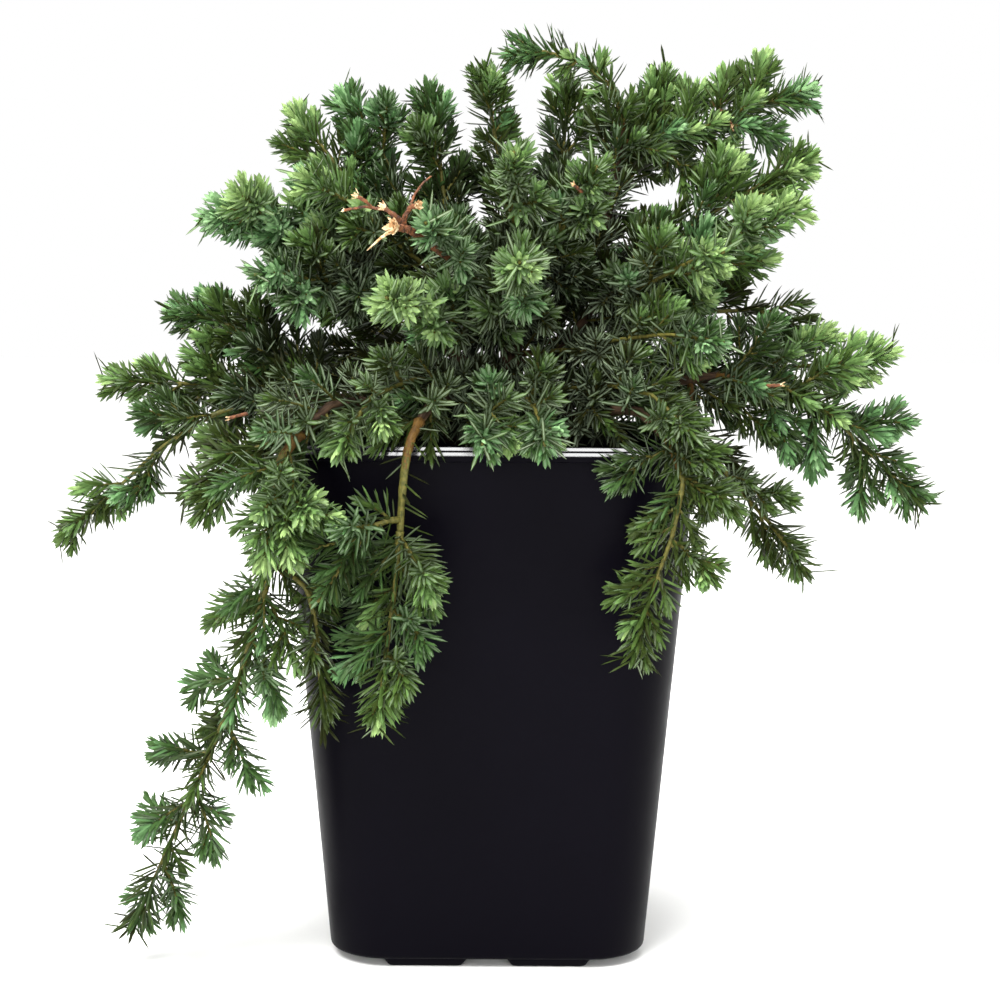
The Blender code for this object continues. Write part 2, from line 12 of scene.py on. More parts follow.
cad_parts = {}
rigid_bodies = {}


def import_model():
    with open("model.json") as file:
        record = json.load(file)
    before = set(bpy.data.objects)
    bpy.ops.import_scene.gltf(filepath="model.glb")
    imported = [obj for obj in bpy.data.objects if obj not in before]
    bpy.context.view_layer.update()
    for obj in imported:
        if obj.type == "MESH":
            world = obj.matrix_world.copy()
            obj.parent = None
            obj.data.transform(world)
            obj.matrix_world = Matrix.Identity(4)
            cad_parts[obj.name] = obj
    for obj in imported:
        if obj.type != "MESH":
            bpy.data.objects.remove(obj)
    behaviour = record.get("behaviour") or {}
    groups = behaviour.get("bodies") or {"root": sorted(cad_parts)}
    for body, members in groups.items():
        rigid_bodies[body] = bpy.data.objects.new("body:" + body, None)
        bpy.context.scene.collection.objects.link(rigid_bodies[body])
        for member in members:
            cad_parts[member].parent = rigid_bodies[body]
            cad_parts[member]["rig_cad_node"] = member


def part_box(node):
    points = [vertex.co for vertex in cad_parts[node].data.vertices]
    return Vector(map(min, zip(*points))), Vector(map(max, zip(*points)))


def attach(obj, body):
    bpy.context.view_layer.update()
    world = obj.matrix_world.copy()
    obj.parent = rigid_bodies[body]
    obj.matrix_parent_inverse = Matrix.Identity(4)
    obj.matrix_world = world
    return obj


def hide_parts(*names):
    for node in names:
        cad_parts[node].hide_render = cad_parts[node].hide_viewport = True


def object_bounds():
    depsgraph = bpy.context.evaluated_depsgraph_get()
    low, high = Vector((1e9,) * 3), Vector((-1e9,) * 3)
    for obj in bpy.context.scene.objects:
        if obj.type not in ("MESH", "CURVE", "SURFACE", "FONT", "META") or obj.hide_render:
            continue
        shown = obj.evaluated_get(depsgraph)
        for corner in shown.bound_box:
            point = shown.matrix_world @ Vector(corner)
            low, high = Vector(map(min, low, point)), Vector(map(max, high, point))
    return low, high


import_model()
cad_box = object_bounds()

bl_info = {
    "name": "Potted weeping juniper",
    "version": (1, 0, 0),
    "blender": (4, 5, 0),
    "location": "3D View > Sidebar > Juniper",
    "description": "Dresses the packed solids of a weeping shore juniper in its square nursery pot",
    "category": "Object",
}

MM = 0.001
UP = Vector((0, 0, 1))
GAP = 0.3 * MM
BODY = "root"

# Pot, outside, as in the part's solids
POT_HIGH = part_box("pot")[1]
POT_HEIGHT = POT_HIGH.z
RIM_HALF = POT_HIGH.x
RIM_CORNER = 24 * MM
RIM_BAND = 5 * MM
RIM_STEP = 0.9 * MM
BASE_HALF = 54 * MM
BASE_CORNER = 17 * MM
BASE_ROUNDING = 3 * MM
WALL = 1.4 * MM
FOOT_HEIGHT = 3 * MM
FOOT_DEPTH = 14 * MM
SLOT_WIDTH = 3.4 * MM
SLOT_LENGTH = 16 * MM
# The lower edge is crisper here than the solid's, and its corners are rounder seen from above
BASE_EDGE = 1.5 * MM
EDGE_CORNER = 20 * MM
# The feet are a little wider than the solid's
FOOT_WIDTH = 29.4 * MM
FOOT_DRAFT = 2.2 * MM
FOOT_GAP = 12.2 * MM

# Potting mix and trunk, as in the part's solids
SOIL_FALL = 2 * MM
# The potting mix is level for this share of the way to the wall
LEVEL_SOIL = 0.55
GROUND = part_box("potting_mix")[1].z
TRUNK_FOOT = Vector((2 * MM, 0, GROUND + GAP))
TRUNK_TIP = Vector((7 * MM, 3 * MM, GROUND + 78 * MM))
TRUNK_RADIUS = 5.6 * MM
TRUNK_TIP_RADIUS = 2.6 * MM
FLARE_RADIUS = 9.5 * MM
FLARE_HEIGHT = 9 * MM
STRAIGHT_START = 2 * MM
LIMB_STEPS = 7
# A bough's radius at its tip, as a share of its thickness at its start
TIP_THINNING = 0.36

# Foliage, as in the part's solids
STEM_RADIUS = 1.1 * MM
STEM_TIP_RADIUS = 0.6 * MM
STEM_STEPS = 5
WHORL_SPACING = 9.1 * MM
LEAD_LENGTH = 17 * MM
BARE_AT_BOUGH_TIP = 0.05
BARE_AT_SIDE = 0.28
SHORTEST_SHOOT = 0.62
SHOOT_BEND = 0.25

# Azimuth is in degrees from +X, anticlockwise seen from above. Reach is from the pot's axis and height from
# the floor, in millimetres. Pitch is the slope of the tip in degrees. Back is how far behind its parent's tip
# a limb leaves it, in millimetres: 0 grows on from the end. Green is how far from the tip the bark is still
# green, in millimetres, and shoots is how many short shoots the bough bears.
Bough = namedtuple("Bough", "name parent back azimuth reach height pitch thickness green shoots")
BOUGHS = (
    Bough("bough_left_low", "trunk", 68, 232, 97, 182, -45, 4.4, 0, 22),
    Bough("bough_left_hanging", "bough_left_low", 0, 226, 103, 132, -70, 3.2, 46, 13),
    Bough("bough_front_left", "trunk", 61, 254, 80, 186, -40, 4.0, 0, 16),
    Bough("bough_front_hanging", "bough_front_left", 0, 252, 90, 152, -84, 2.8, 24, 0),
    Bough("bough_left", "trunk", 54, 196, 72, 190, 0, 4.4, 0, 18),
    Bough("bough_upper_left", "trunk", 40, 196, 48, 239, 35, 4.0, 0, 13),
    Bough("bough_top_right", "trunk", 22, 355, 45, 283, 80, 3.8, 0, 26),
    Bough("bough_right", "trunk", 38, 340, 50, 234, 25, 4.0, 0, 12),
    Bough("bough_right_low", "trunk", 58, 335, 84, 199, 0, 4.6, 0, 12),
    Bough("bough_front_right", "trunk", 66, 307, 92, 182, -45, 4.2, 0, 12),
    Bough("bough_back_right", "trunk", 62, 48, 66, 200, 5, 4.4, 0, 18),
    Bough("bough_back_left", "trunk", 56, 128, 66, 204, 5, 4.4, 0, 18),
)

GREEN_BOUGHS = [row.name for row in BOUGHS if row.green]

# How the side shoots of a mass stand round its stem, in degrees: the first one's turn, the turn from one to
# the next, and their angle to the stem
GOLDEN_TURN = 137.5
Ranks = namedtuple("Ranks", "first turn angle")
SPIRAL = Ranks(0, GOLDEN_TURN, 48)
TWO_SIDES = Ranks(0, 180, 66)
ABOVE_AND_BELOW = Ranks(90, 180, 64)

# Each name goes on from "foliage_". Length is that of the side shoots, in millimetres. Tone is the mass's
# place in the needle colours, from 0, dark olive, to 3, fresh green. Bright is the share of its shoots that
# end in new growth. Fine is how many of the finer twigs it has, as a share of the usual number.
Foliage = namedtuple(
    "Foliage", "name parent back azimuth reach height pitch shoots length ranks tone bright fine"
)
FOLIAGE = tuple(Foliage("foliage_" + name, *rest) for name, *rest in (
    ("cascade", "bough_left_hanging", 0, 203, 130, 12, -66, 9, 33, ABOVE_AND_BELOW, 1.3, 0.05, 0.5),
    ("left_corner", "bough_left_low", 3, 203, 111, 158, -35, 4, 28, SPIRAL, 0.8, 0.2, 0.8),
    ("front_left", "bough_left_hanging", 30, 238, 116, 143, -60, 4, 26, SPIRAL, 1.5, 0.5, 0.8),
    ("pot_edge", "bough_left_hanging", 8, 236, 94, 89, -80, 2, 18, TWO_SIDES, 0.5, 0.0, 0.3),
    ("front_hanging", "bough_front_hanging", 0, 250, 100, 91, -84, 7, 29, TWO_SIDES, 1.2, 0.1, 0.6),
    ("front_hanging_left", "bough_front_hanging", 3, 241, 109, 131, -45, 3, 20, SPIRAL, 1.0, 0.1, 0.5),
    ("left_long", "bough_left", 0, 188, 151, 140, -38, 5, 28, SPIRAL, 0.9, 0.15, 0.8),
    ("left_lifted", "bough_left", 3, 184, 136, 196, 8, 5, 28, SPIRAL, 1.2, 0.5, 1.0),
    ("left_middle", "bough_left", 7, 177, 115, 220, 8, 5, 28, SPIRAL, 1.3, 0.5, 1.8),
    ("upper_left", "bough_upper_left", 0, 201, 104, 251, 3, 6, 30, SPIRAL, 2.2, 0.8, 1.0),
    ("upper_left_back", "bough_upper_left", 3, 172, 73, 291, 38, 4, 28, SPIRAL, 1.6, 0.6, 1.4),
    ("upper_left_low", "bough_upper_left", 6, 218, 97, 232, -10, 4, 28, SPIRAL, 1.6, 0.5, 1.5),
    ("upper_left_front", "trunk", 15, 216, 78, 265, 15, 5, 28, SPIRAL, 2.0, 0.7, 1.0),
    ("top_middle", "trunk", 5, 177, 23, 299, 70, 4, 26, SPIRAL, 1.6, 0.5, 2.6),
    ("top_left", "trunk", 9, 175, 54, 297, 42, 6, 30, SPIRAL, 1.8, 0.6, 1.5),
    ("top_upright", "trunk", 0, 258, 12, 304, 82, 3, 18, SPIRAL, 1.4, 0.4, 3.0),
    ("arch", "bough_top_right", 0, 300, 9, 308, -20, 5, 9.5, ABOVE_AND_BELOW, 1.4, 0.4, 1.2),
    ("top_right", "bough_top_right", 3, 355, 112, 296, 0, 6, 27, ABOVE_AND_BELOW, 1.4, 0.4, 1.2),
    ("upper_right", "bough_top_right", 7, 15, 64, 307, 78, 4, 24, SPIRAL, 1.2, 0.3, 2.2),
    ("right_high", "bough_right", 0, 355, 112, 274, 25, 4, 28, SPIRAL, 1.6, 0.5, 2.5),
    ("right_bright", "bough_right", 3, 338, 112, 257, 8, 5, 28, SPIRAL, 2.2, 0.8, 1.0),
    ("right_front", "bough_right", 6, 318, 100, 240, 0, 4, 28, SPIRAL, 1.8, 0.6, 1.0),
    ("right_arching", "trunk", 30, 2, 118, 209, -50, 4, 27, SPIRAL, 0.8, 0.1, 1.8),
    ("right_long", "bough_right_low", 4, 343, 141, 208, 18, 4, 28, SPIRAL, 1.5, 0.7, 0.8),
    ("right_drooping", "bough_right_low", 0, 345, 151, 156, -42, 7, 30, ABOVE_AND_BELOW, 1.1, 0.5, 1.0),
    ("right_under", "bough_right_low", 8, 328, 122, 136, -55, 4, 27, SPIRAL, 0.8, 0.1, 0.8),
    ("right_hanging", "bough_front_right", 0, 297, 100, 112, -75, 6, 25, TWO_SIDES, 1.0, 0.05, 1.1),
    ("front_right", "trunk", 34, 311, 111, 212, -10, 4, 28, SPIRAL, 1.3, 0.3, 1.0),
    ("front_right_low", "trunk", 47, 305, 111, 183, -40, 4, 26, SPIRAL, 1.0, 0.1, 1.0),
    ("front_low_left", "trunk", 57, 269, 107, 181, -30, 4, 24, SPIRAL, 1.4, 0.4, 1.0),
    ("front_low_right", "trunk", 51, 279, 108, 181, -30, 4, 27, SPIRAL, 1.3, 0.3, 1.0),
    ("front_rim_left", "trunk", 47, 245, 111, 177, -55, 4, 24, SPIRAL, 1.5, 0.3, 1.0),
    ("front_bright", "trunk", 28, 252, 102, 225, 5, 5, 26, SPIRAL, 2.3, 0.9, 1.0),
    ("front_star", "trunk", 24, 275, 103, 236, 5, 4, 26, SPIRAL, 1.8, 0.5, 1.0),
    ("front_upper_left", "trunk", 18, 257, 89, 248, 10, 4, 26, SPIRAL, 1.7, 0.5, 1.0),
    ("front_top_right", "trunk", 12, 298, 72, 267, 25, 4, 26, SPIRAL, 1.7, 0.5, 2.0),
    ("front_top", "trunk", 7, 276, 69, 271, 30, 4, 26, SPIRAL, 1.7, 0.5, 1.0),
    ("back_top", "trunk", 10, 52, 45, 305, 72, 5, 28, SPIRAL, 1.0, 0.2, 1.6),
    ("back_middle", "trunk", 27, 88, 96, 228, 0, 4, 28, SPIRAL, 1.5, 0.4, 1.0),
    ("back_left_low", "bough_back_left", 0, 143, 114, 168, -40, 3, 29, SPIRAL, 1.1, 0.2, 1.0),
    ("back_left", "bough_back_left", 3, 118, 112, 202, 0, 4, 29, SPIRAL, 1.3, 0.4, 1.0),
    ("back_left_high", "bough_back_left", 6, 145, 97, 244, 30, 4, 29, SPIRAL, 1.8, 0.6, 1.0),
    ("back_low", "bough_back_right", 6, 82, 106, 160, -45, 3, 29, SPIRAL, 1.0, 0.2, 1.0),
    ("back_right", "bough_back_right", 0, 38, 120, 186, -20, 4, 29, SPIRAL, 1.2, 0.3, 1.0),
    ("back_right_high", "bough_back_right", 3, 52, 102, 240, 30, 4, 29, SPIRAL, 1.7, 0.6, 1.0),
))

# The masses and boughs whose needles are joined in one piece, by the words that their names start with
REGIONS = (
    ("hanging_left", ("foliage_cascade", "foliage_left_corner", "foliage_pot_edge", "bough_left_low")),
    ("left", ("foliage_left", "bough_left")),
    ("upper_left", ("foliage_upper_left", "foliage_top_left", "foliage_top_middle", "bough_upper_left")),
    ("top", ("foliage_top", "foliage_arch", "foliage_upper_right", "bough_top_right")),
    ("right", ("foliage_right", "bough_right")),
    ("front_left", ("foliage_front_hanging", "foliage_front_left", "foliage_front_low_left", "bough_front",
                    "foliage_front_rim_left", "foliage_front_bright", "foliage_front_upper_left")),
    ("front_right", ("foliage_front",)),
    ("back", ("foliage_back", "bough_back")),
)

# Snapped twigs, as lines of points in millimetres that start inside the foliage. Thick and thin are the
# widths of the two ends, and splinters is how many stand out of the torn end. Torn is 1 where all of it is
# torn wood.
SnappedTwig = namedtuple("SnappedTwig", "points thick thin splinters torn")
SNAPPED_TWIGS = tuple(SnappedTwig(*row) for row in (
    (((-11, -62, 236), (-20, -73, 242), (-25, -79, 246), (-29.5, -85, 246.8)), 2.0, 2.6, 26, 0),
    (((-27, -80, 247), (-26.6, -82, 250), (-24.6, -83, 253), (-22.6, -86, 253.2)), 1.7, 1.7, 18, 0),
    (((-27, -80, 248), (-30, -82, 250.5), (-33, -82, 252.7)), 1.9, 1.5, 14, 0),
    (((-32, -81, 252), (-39, -81, 253), (-46, -78, 252)), 1.1, 0.8, 5, 0),
    (((-37, -81, 253), (-38.5, -83, 254.6), (-41.5, -84, 256.2)), 0.9, 1.3, 12, 0),
    (((-24.6, -82, 254), (-23.5, -81, 257), (-21, -79, 260.5), (-18.6, -77, 262.7)), 0.9, 0.6, 0, 0),
    (((-30, -85, 246), (-34, -87, 243), (-38, -86, 239.4)), 1.5, 0.2, 0, 1),
    (((76, -4, 293), (80.5, -10, 288), (82.3, -14, 284)), 1.2, 1.3, 9, 0),
    (((90, -55, 197), (95, -57, 197.4)), 1.2, 1.0, 6, 0),
    (((-78, -64, 187.5), (-84, -66, 186)), 1.2, 1.1, 7, 0),
    (((29, -62, 259), (26, -68, 261)), 1.2, 1.0, 6, 0),
))

Limb = namedtuple("Limb", "points radii")
Shoot = namedtuple("Shoot", "points radii tone bright leaf bare cool")

# Some shoots bear bluer needles. This is their red, green and blue, as shares of a greener needle's.
COOL_TINT = (0.84, 0.98, 1.25)
AGES = ("olive", "deep_green", "green", "fresh_green", "new_green")


def linear(hex_colour):
    """The linear colour of an sRGB hex value."""
    channels = [int(hex_colour[i : i + 2], 16) / 255 for i in (1, 3, 5)]
    return tuple(c / 12.92 if c <= 0.04045 else ((c + 0.055) / 1.055) ** 2.4 for c in channels)


def colour_property(label, description, hex_colour):
    return FloatVectorProperty(
        name=label, description=description, subtype="COLOR", size=3, min=0, max=1, default=linear(hex_colour)
    )


def share_property(label, description, default):
    return FloatProperty(
        name=label, description=description, subtype="FACTOR", min=0, max=1, default=default
    )


class PotSettings(bpy.types.PropertyGroup):
    wall_colour: colour_property("Wall colour", "Base colour of the moulded wall", "#050409")
    roughness: share_property("Roughness", "Roughness of the moulded wall", 0.36)
    lip_roughness: share_property("Lip roughness", "Roughness of the polished lip", 0.15)
    lip_bead: FloatProperty(
        name="Lip bead",
        description="Height of each of the two beads that run round the rim",
        default=1.1 * MM,
        unit="LENGTH",
    )


class ShrubSettings(bpy.types.PropertyGroup):
    needle_length: FloatProperty(
        name="Needle length", description="Length of a full needle", default=9.8 * MM, unit="LENGTH"
    )
    needle_width: FloatProperty(
        name="Needle width", description="Width of a full needle", default=1.42 * MM, unit="LENGTH"
    )
    whorl_gap: FloatProperty(
        name="Whorl gap",
        description="Distance between two whorls of three needles",
        default=1.37 * MM,
        unit="LENGTH",
    )
    finer_twigs: IntProperty(
        name="Finer twigs", description="Most finer twigs on one shoot", default=4, min=0, max=6
    )
    # The darker needle colours also serve as painted shade, dealt to shoots deep inside the crown
    olive: colour_property("Old needles", "Needles low and deep in the crown", "#21250e")
    deep_green: colour_property("Grown needles", "Needles of last year", "#2f3b18")
    green: colour_property("Green needles", "Needles of this year's shoots", "#3f5426")
    fresh_green: colour_property("Fresh needles", "Needles near the shoots' tips", "#5a7741")
    new_green: colour_property("New needles", "Needles of the tips' new growth", "#839d60")
    bloom: share_property("Bloom", "How pale the waxy band on a needle's upper side is", 0.4)
    bark: colour_property("Bark", "Old flaking bark", "#33271f")
    young_wood: colour_property("Young wood", "Smooth bark of last year", "#664b20")
    green_wood: colour_property("Green wood", "Bark of this year", "#4c4f22")


class StageSettings(bpy.types.PropertyGroup):
    floor_colour: colour_property("Floor colour", "Plain pale floor and backdrop", "#f7f7f5")
    key_power: FloatProperty(
        name="Key power", description="Power of the large light above and in front", default=30, unit="POWER"
    )
    strip_power: FloatProperty(
        name="Strip power", description="Power of the long strip over the camera", default=9, unit="POWER"
    )
    sky_strength: FloatProperty(
        name="Sky strength",
        description="Strength of the broad light from above",
        default=0.8,
        min=0,
        soft_max=5,
    )


# The growth rule of the part's solids


def polar(azimuth, reach, height):
    """The point at this azimuth, reach and height, in metres."""
    turn = math.radians(azimuth)
    return Vector((reach * MM * math.cos(turn), reach * MM * math.sin(turn), height * MM))


def lerp(a, b, share):
    return a + (b - a) * share


def bezier(start, leaving, end, arriving, steps):
    """Points along a smooth curve that leaves start and reaches end in the directions given."""
    pull = (end - start).length * 0.38
    first, second = start + leaving * pull, end - arriving * pull
    points = []
    for i in range(steps + 1):
        t = i / steps
        points.append(
            start * (1 - t) ** 3 + first * 3 * t * (1 - t) ** 2 + second * 3 * t * t * (1 - t) + end * t**3
        )
    return points


def heading_of(direction):
    flat = Vector((direction.x, direction.y, 0))
    return flat.normalized() if flat.length > 1e-6 else Vector((1, 0, 0))


def at_share(points, share):
    """The point at a share of the way along a line of points, counted in steps."""
    place = min(max(share, 0), 1) * (len(points) - 1)
    i = min(int(place), len(points) - 2)
    return lerp(points[i], points[i + 1], place - i)


def tangent_at(points, share):
    step = 0.5 / (len(points) - 1)
    return (at_share(points, share + step) - at_share(points, share - step)).normalized()


def length_of(points):
    return sum((b - a).length for a, b in zip(points, points[1:]))


def seat_on(parent, back, toward, radius):
    """Where a limb leaves its parent and which way: on from the tip, or square out of the side."""
    if back == 0:
        leaving = (parent.points[-1] - parent.points[-2]).normalized()
        return parent.points[-1] + leaving * GAP, leaving
    length = length_of(parent.points)
    share = 1 - back * MM / length
    centre, along = at_share(parent.points, share), tangent_at(parent.points, share)
    out = toward - centre
    out = (out - along * out.dot(along)).normalized()
    nearby = [at_share(parent.radii, share + side * 1.6 * radius / length) for side in (-1, 0, 1)]
    return centre + out * (max(nearby) + GAP), out


def grow_limb(parent, row, base_radius, tip_radius, steps):
    """A tapering limb from its parent to the tip that the row gives."""
    tip = polar(row.azimuth, row.reach, row.height)
    start, leaving = seat_on(parent, row.back, tip, base_radius)
    pitch = math.radians(row.pitch)
    arriving = heading_of(tip - start) * math.cos(pitch) + UP * math.sin(pitch)
    points = [start] + bezier(start + leaving * STRAIGHT_START, leaving, tip, arriving, steps - 1)
    radii = [lerp(base_radius, tip_radius, i / steps) for i in range(steps + 1)]
    return Limb(points, radii)


def trunk_limb():
    """The leaning trunk: a flared foot, a slow taper, and a line that swings a little on its way up."""
    leaving = Vector((0.18, -0.06, 1)).normalized()
    arriving = Vector((-0.05, 0.12, 1)).normalized()
    points = bezier(TRUNK_FOOT, leaving, TRUNK_TIP, arriving, 10)
    points[0].z = TRUNK_FOOT.z
    radii = []
    for point in points:
        height = point.z - TRUNK_FOOT.z
        share = height / (TRUNK_TIP.z - TRUNK_FOOT.z)
        flare = (FLARE_RADIUS - TRUNK_RADIUS) * math.exp(-2.2 * height / FLARE_HEIGHT)
        radii.append(lerp(TRUNK_RADIUS, TRUNK_TIP_RADIUS, share) + flare)
    return Limb(points, radii)


def leader_share(stem):
    """How far along its line, as a share, a stem becomes the leader: the shoot that ends it."""
    length = length_of(stem.points)
    return 1 - min(LEAD_LENGTH, 0.75 * length) / length


def shoot_steps(reach):
    return max(3, round(reach / WHORL_SPACING))


def shoots_of(stem, row):
    """The shoots of one mass, as lines of points: the leader that ends the stem, then the side shoots."""
    rng = random.Random(row.name)
    leader = leader_share(stem)
    steps = shoot_steps((1 - leader) * length_of(stem.points))
    shoots = [[at_share(stem.points, lerp(leader, 1, i / steps)) for i in range(steps + 1)]]
    heading = heading_of(stem.points[-1] - stem.points[0])
    beside = UP.cross(heading)
    first_turn = rng.uniform(-20, 20)
    for i in range(row.shoots):
        bare = BARE_AT_BOUGH_TIP if row.back == 0 else BARE_AT_SIDE
        share = lerp(bare, leader, (i + 0.6) / row.shoots)
        along = tangent_at(stem.points, share)
        over = along.cross(beside).normalized()
        turn = math.radians(first_turn + row.ranks.first + row.ranks.turn * i + rng.uniform(-14, 14))
        out = beside * math.cos(turn) - over * math.sin(turn)
        angle = math.radians(row.ranks.angle + rng.uniform(-8, 8))
        leaving = along * math.cos(angle) + out * math.sin(angle)
        reach = row.length * MM * lerp(1, SHORTEST_SHOOT, share) * rng.uniform(0.88, 1.12)
        start = at_share(stem.points, share)
        shoots.append(bending_line(start, leaving, along, SHOOT_BEND, reach, shoot_steps(reach)))
    return shoots


def bending_line(start, leaving, along, bend, reach, steps):
    """Points of a shoot that leaves its stem in one direction and bends toward the way that the stem runs."""
    bent = (leaving + along * bend).normalized()
    return [start + lerp(leaving, bent, j / steps).normalized() * reach * j / steps for j in range(steps + 1)]


# Finer growth, within the reach of the part's solids

FINER_SHOOT_STEPS = 3
FINER_BEND = 0.3
# The share of a bough's own shoots that end in new growth. One in this many of them bears bluer needles.
BRIGHT_ON_BOUGH = 0.15
COOL_ON_BOUGH = 4
# Shoots and needles stay this far from the pot's wall and the potting mix
SHOOT_CLEARANCE = 1.2 * MM
NEEDLE_CLEARANCE = 0.5 * MM
# A shoot bears its full number of finer twigs from this length on
FULL_SHOOT = 24 * MM
# How far before the end of its shoot the last needle stands
TIP_ROOM = 3.2 * MM

# The foliage as an egg round its middle, to tell which shoots are deep inside it, where their needles are
# painted in shade. Its outer layer is given as a share of the way from its outside to its middle.
FOLIAGE_MIDDLE = Vector((0, 0, 200 * MM))
FOLIAGE_SPAN = (125 * MM, 100 * MM, 110 * MM)
OUTER_LAYER = 0.5
# Painted shade: how many steps darker in the needle colours than its mass a shoot in the middle of the
# foliage is dealt, for the shade deep in the crown
INNER_SHADE = 2.2


def depth_in_foliage(point):
    """How deep inside the foliage a point is: 0 outside it, rising to 1 at the foot of the outer layer."""
    away = math.sqrt(sum(((p - m) / s) ** 2 for p, m, s in zip(point, FOLIAGE_MIDDLE, FOLIAGE_SPAN)))
    return min(max((1 - away) / OUTER_LAYER, 0), 1)


def side_shoot(points, share, turn, angle, reach):
    """A finer shoot that leaves a line of points at a share of its length. Turn and angle are in degrees."""
    start, along = at_share(points, share), tangent_at(points, share)
    across = (UP if abs(along.z) < 0.9 else Vector((1, 0, 0))).cross(along).normalized()
    over = along.cross(across)
    out = across * math.cos(math.radians(turn)) + over * math.sin(math.radians(turn))
    leaving = along * math.cos(math.radians(angle)) + out * math.sin(math.radians(angle))
    return bending_line(start, leaving, along, FINER_BEND, reach, FINER_SHOOT_STEPS)


def pot_distance(points):
    """How far points are outside the pot's outer face, in metres, and below 0 inside it."""
    height = np.clip((points[:, 2] - FOOT_HEIGHT) / (POT_HEIGHT - FOOT_HEIGHT), 0, 1)
    half = lerp(BASE_HALF, RIM_HALF - RIM_STEP, height)
    half = np.where(points[:, 2] > POT_HEIGHT - RIM_BAND - MM, RIM_HALF, half)
    corner = lerp(BASE_CORNER, RIM_CORNER, height)
    q = np.abs(points[:, :2]) - (half - corner)[:, None]
    return np.linalg.norm(np.maximum(q, 0), axis=1) + np.minimum(q.max(axis=1), 0) - corner


def blocked(points, clearance):
    """Which points lie in the pot's wall or floor or in the potting mix, or within the clearance of them."""
    distance = pot_distance(points)
    in_pot = (distance < clearance) & (points[:, 2] < POT_HEIGHT + clearance)
    over_soil = (distance < -WALL - RIM_STEP - clearance) & (points[:, 2] > GROUND + clearance)
    return in_pot & ~over_soil


def clear_of_pot(points):
    return not blocked(as_array(points), SHOOT_CLEARANCE).any()


@functools.lru_cache(maxsize=1)
def grow_plant(finer_twigs):
    """The trunk and boughs as limbs, and each mass's stem and shoots, by name."""
    limbs = {"trunk": trunk_limb()}
    masses = {}
    for row in BOUGHS:
        base, tip = row.thickness / 2 * MM, row.thickness * TIP_THINNING * MM
        limb = grow_limb(limbs[row.parent], row, base, tip, LIMB_STEPS)
        limbs[row.name] = limb
        masses[row.name] = None, dress_bough(limb, row)
    for row in FOLIAGE:
        stem = grow_limb(limbs[row.parent], row, STEM_RADIUS, STEM_TIP_RADIUS, STEM_STEPS)
        masses[row.name] = stem, dress_stem(stem, row, finer_twigs)
    return limbs, masses


def dress_bough(limb, row):
    """The short shoots that a bough bears between the trunk and the masses at its tip."""
    rng = random.Random(row.name + " shoots")
    shoots = []
    turn = rng.uniform(0, 360)
    for i in range(row.shoots):
        # A bough that grows on from the end of another bears shoots from its start.
        share = lerp(0.3 if row.back else 0.03, 0.98, (i + rng.uniform(0.2, 0.8)) / row.shoots)
        turn += GOLDEN_TURN + rng.uniform(-25, 25)
        points = side_shoot(limb.points, share, turn, rng.uniform(45, 70), rng.uniform(13, 25) * MM)
        if clear_of_pot(points[1:]):
            radii = (0.6 * MM, 0.35 * MM)
            # Painted shade: a shoot deep inside the foliage is dealt darker needle colours
            tone = rng.uniform(0.6, 1.8) - INNER_SHADE * depth_in_foliage(points[-1])
            bright = rng.random() < BRIGHT_ON_BOUGH
            cool = i % COOL_ON_BOUGH == 0
            shoots.append(Shoot(points, radii, tone, bright, leaf=0.95, bare=0.12, cool=cool))
    return shoots


def dress_stem(stem, row, finer_twigs):
    """The shoots of one mass: the solids' own, with finer ones between them and on them."""
    rng = random.Random(row.name + " finer")
    hues = random.Random(row.name + " hue")
    cool_share = hues.choice((0.1, 0.3, 0.6))
    cool = False
    shoots = []

    def add(points, thick, thin, leaf, bare, brighter=0.0):
        if clear_of_pot(points[1:]):
            # Painted shade: a shoot deep inside the foliage is dealt darker needle colours, and less often a
            # bright tip
            depth = depth_in_foliage(points[-1])
            tone = row.tone + rng.uniform(-0.45, 0.45) - INNER_SHADE * depth
            bright = rng.random() < (row.bright + brighter) * (1.1 - depth)
            leaf *= rng.uniform(0.9, 1.08)
            shoots.append(Shoot(points, (thick * MM, thin * MM), tone, bright, leaf, bare, cool))

    main = shoots_of(stem, row)
    for number, points in enumerate(main):
        cool = hues.random() < cool_share
        add(points, 0.75 if number else 0.9, 0.4, 1.0, 0.0, 0.25 if number == 0 else 0)
        reach = length_of(points)
        count = round(finer_twigs * row.fine * min(1, reach / FULL_SHOOT))
        turn = rng.uniform(0, 360)
        for i in range(count):
            share = lerp(0.18, 0.68, (i + rng.uniform(0.2, 0.8)) / count)
            turn += GOLDEN_TURN + rng.uniform(-20, 20)
            finer = reach * lerp(0.58, 0.36, share) * rng.uniform(0.85, 1.15)
            add(side_shoot(points, share, turn, rng.uniform(38, 52), finer), 0.5, 0.32, 0.86, 0.1)
    leader = leader_share(stem)
    between = round(1.6 * row.shoots * row.fine)
    for i in range(between):
        cool = hues.random() < cool_share
        share = lerp(0.12, leader, (i + rng.uniform(0.1, 0.5)) / between)
        turn = row.ranks.first + 90 + row.ranks.turn * i + rng.uniform(-30, 30)
        reach = row.length * MM * lerp(0.75, 0.5, share) * rng.uniform(0.8, 1.1)
        add(side_shoot(stem.points, share, turn, rng.uniform(42, 58), reach), 0.6, 0.35, 0.92, 0.05)
    return shoots


# Meshes from arrays


def as_array(points):
    return np.array([tuple(p) for p in points], dtype=float)


def unit(vectors):
    return vectors / np.maximum(np.linalg.norm(vectors, axis=-1, keepdims=True), 1e-12)


def stations(points, distances):
    """Places and directions along a line of points, at these distances from its start."""
    line = as_array(points)
    gone = np.concatenate([[0], np.cumsum(np.linalg.norm(np.diff(line, axis=0), axis=1))])
    step = gone[-1] * 0.06 + 1e-6

    def place(d):
        d = np.clip(d, 0, gone[-1])
        return np.stack([np.interp(d, gone, line[:, axis]) for axis in range(3)], axis=1)

    return place(distances), unit(place(distances + step) - place(distances - step))


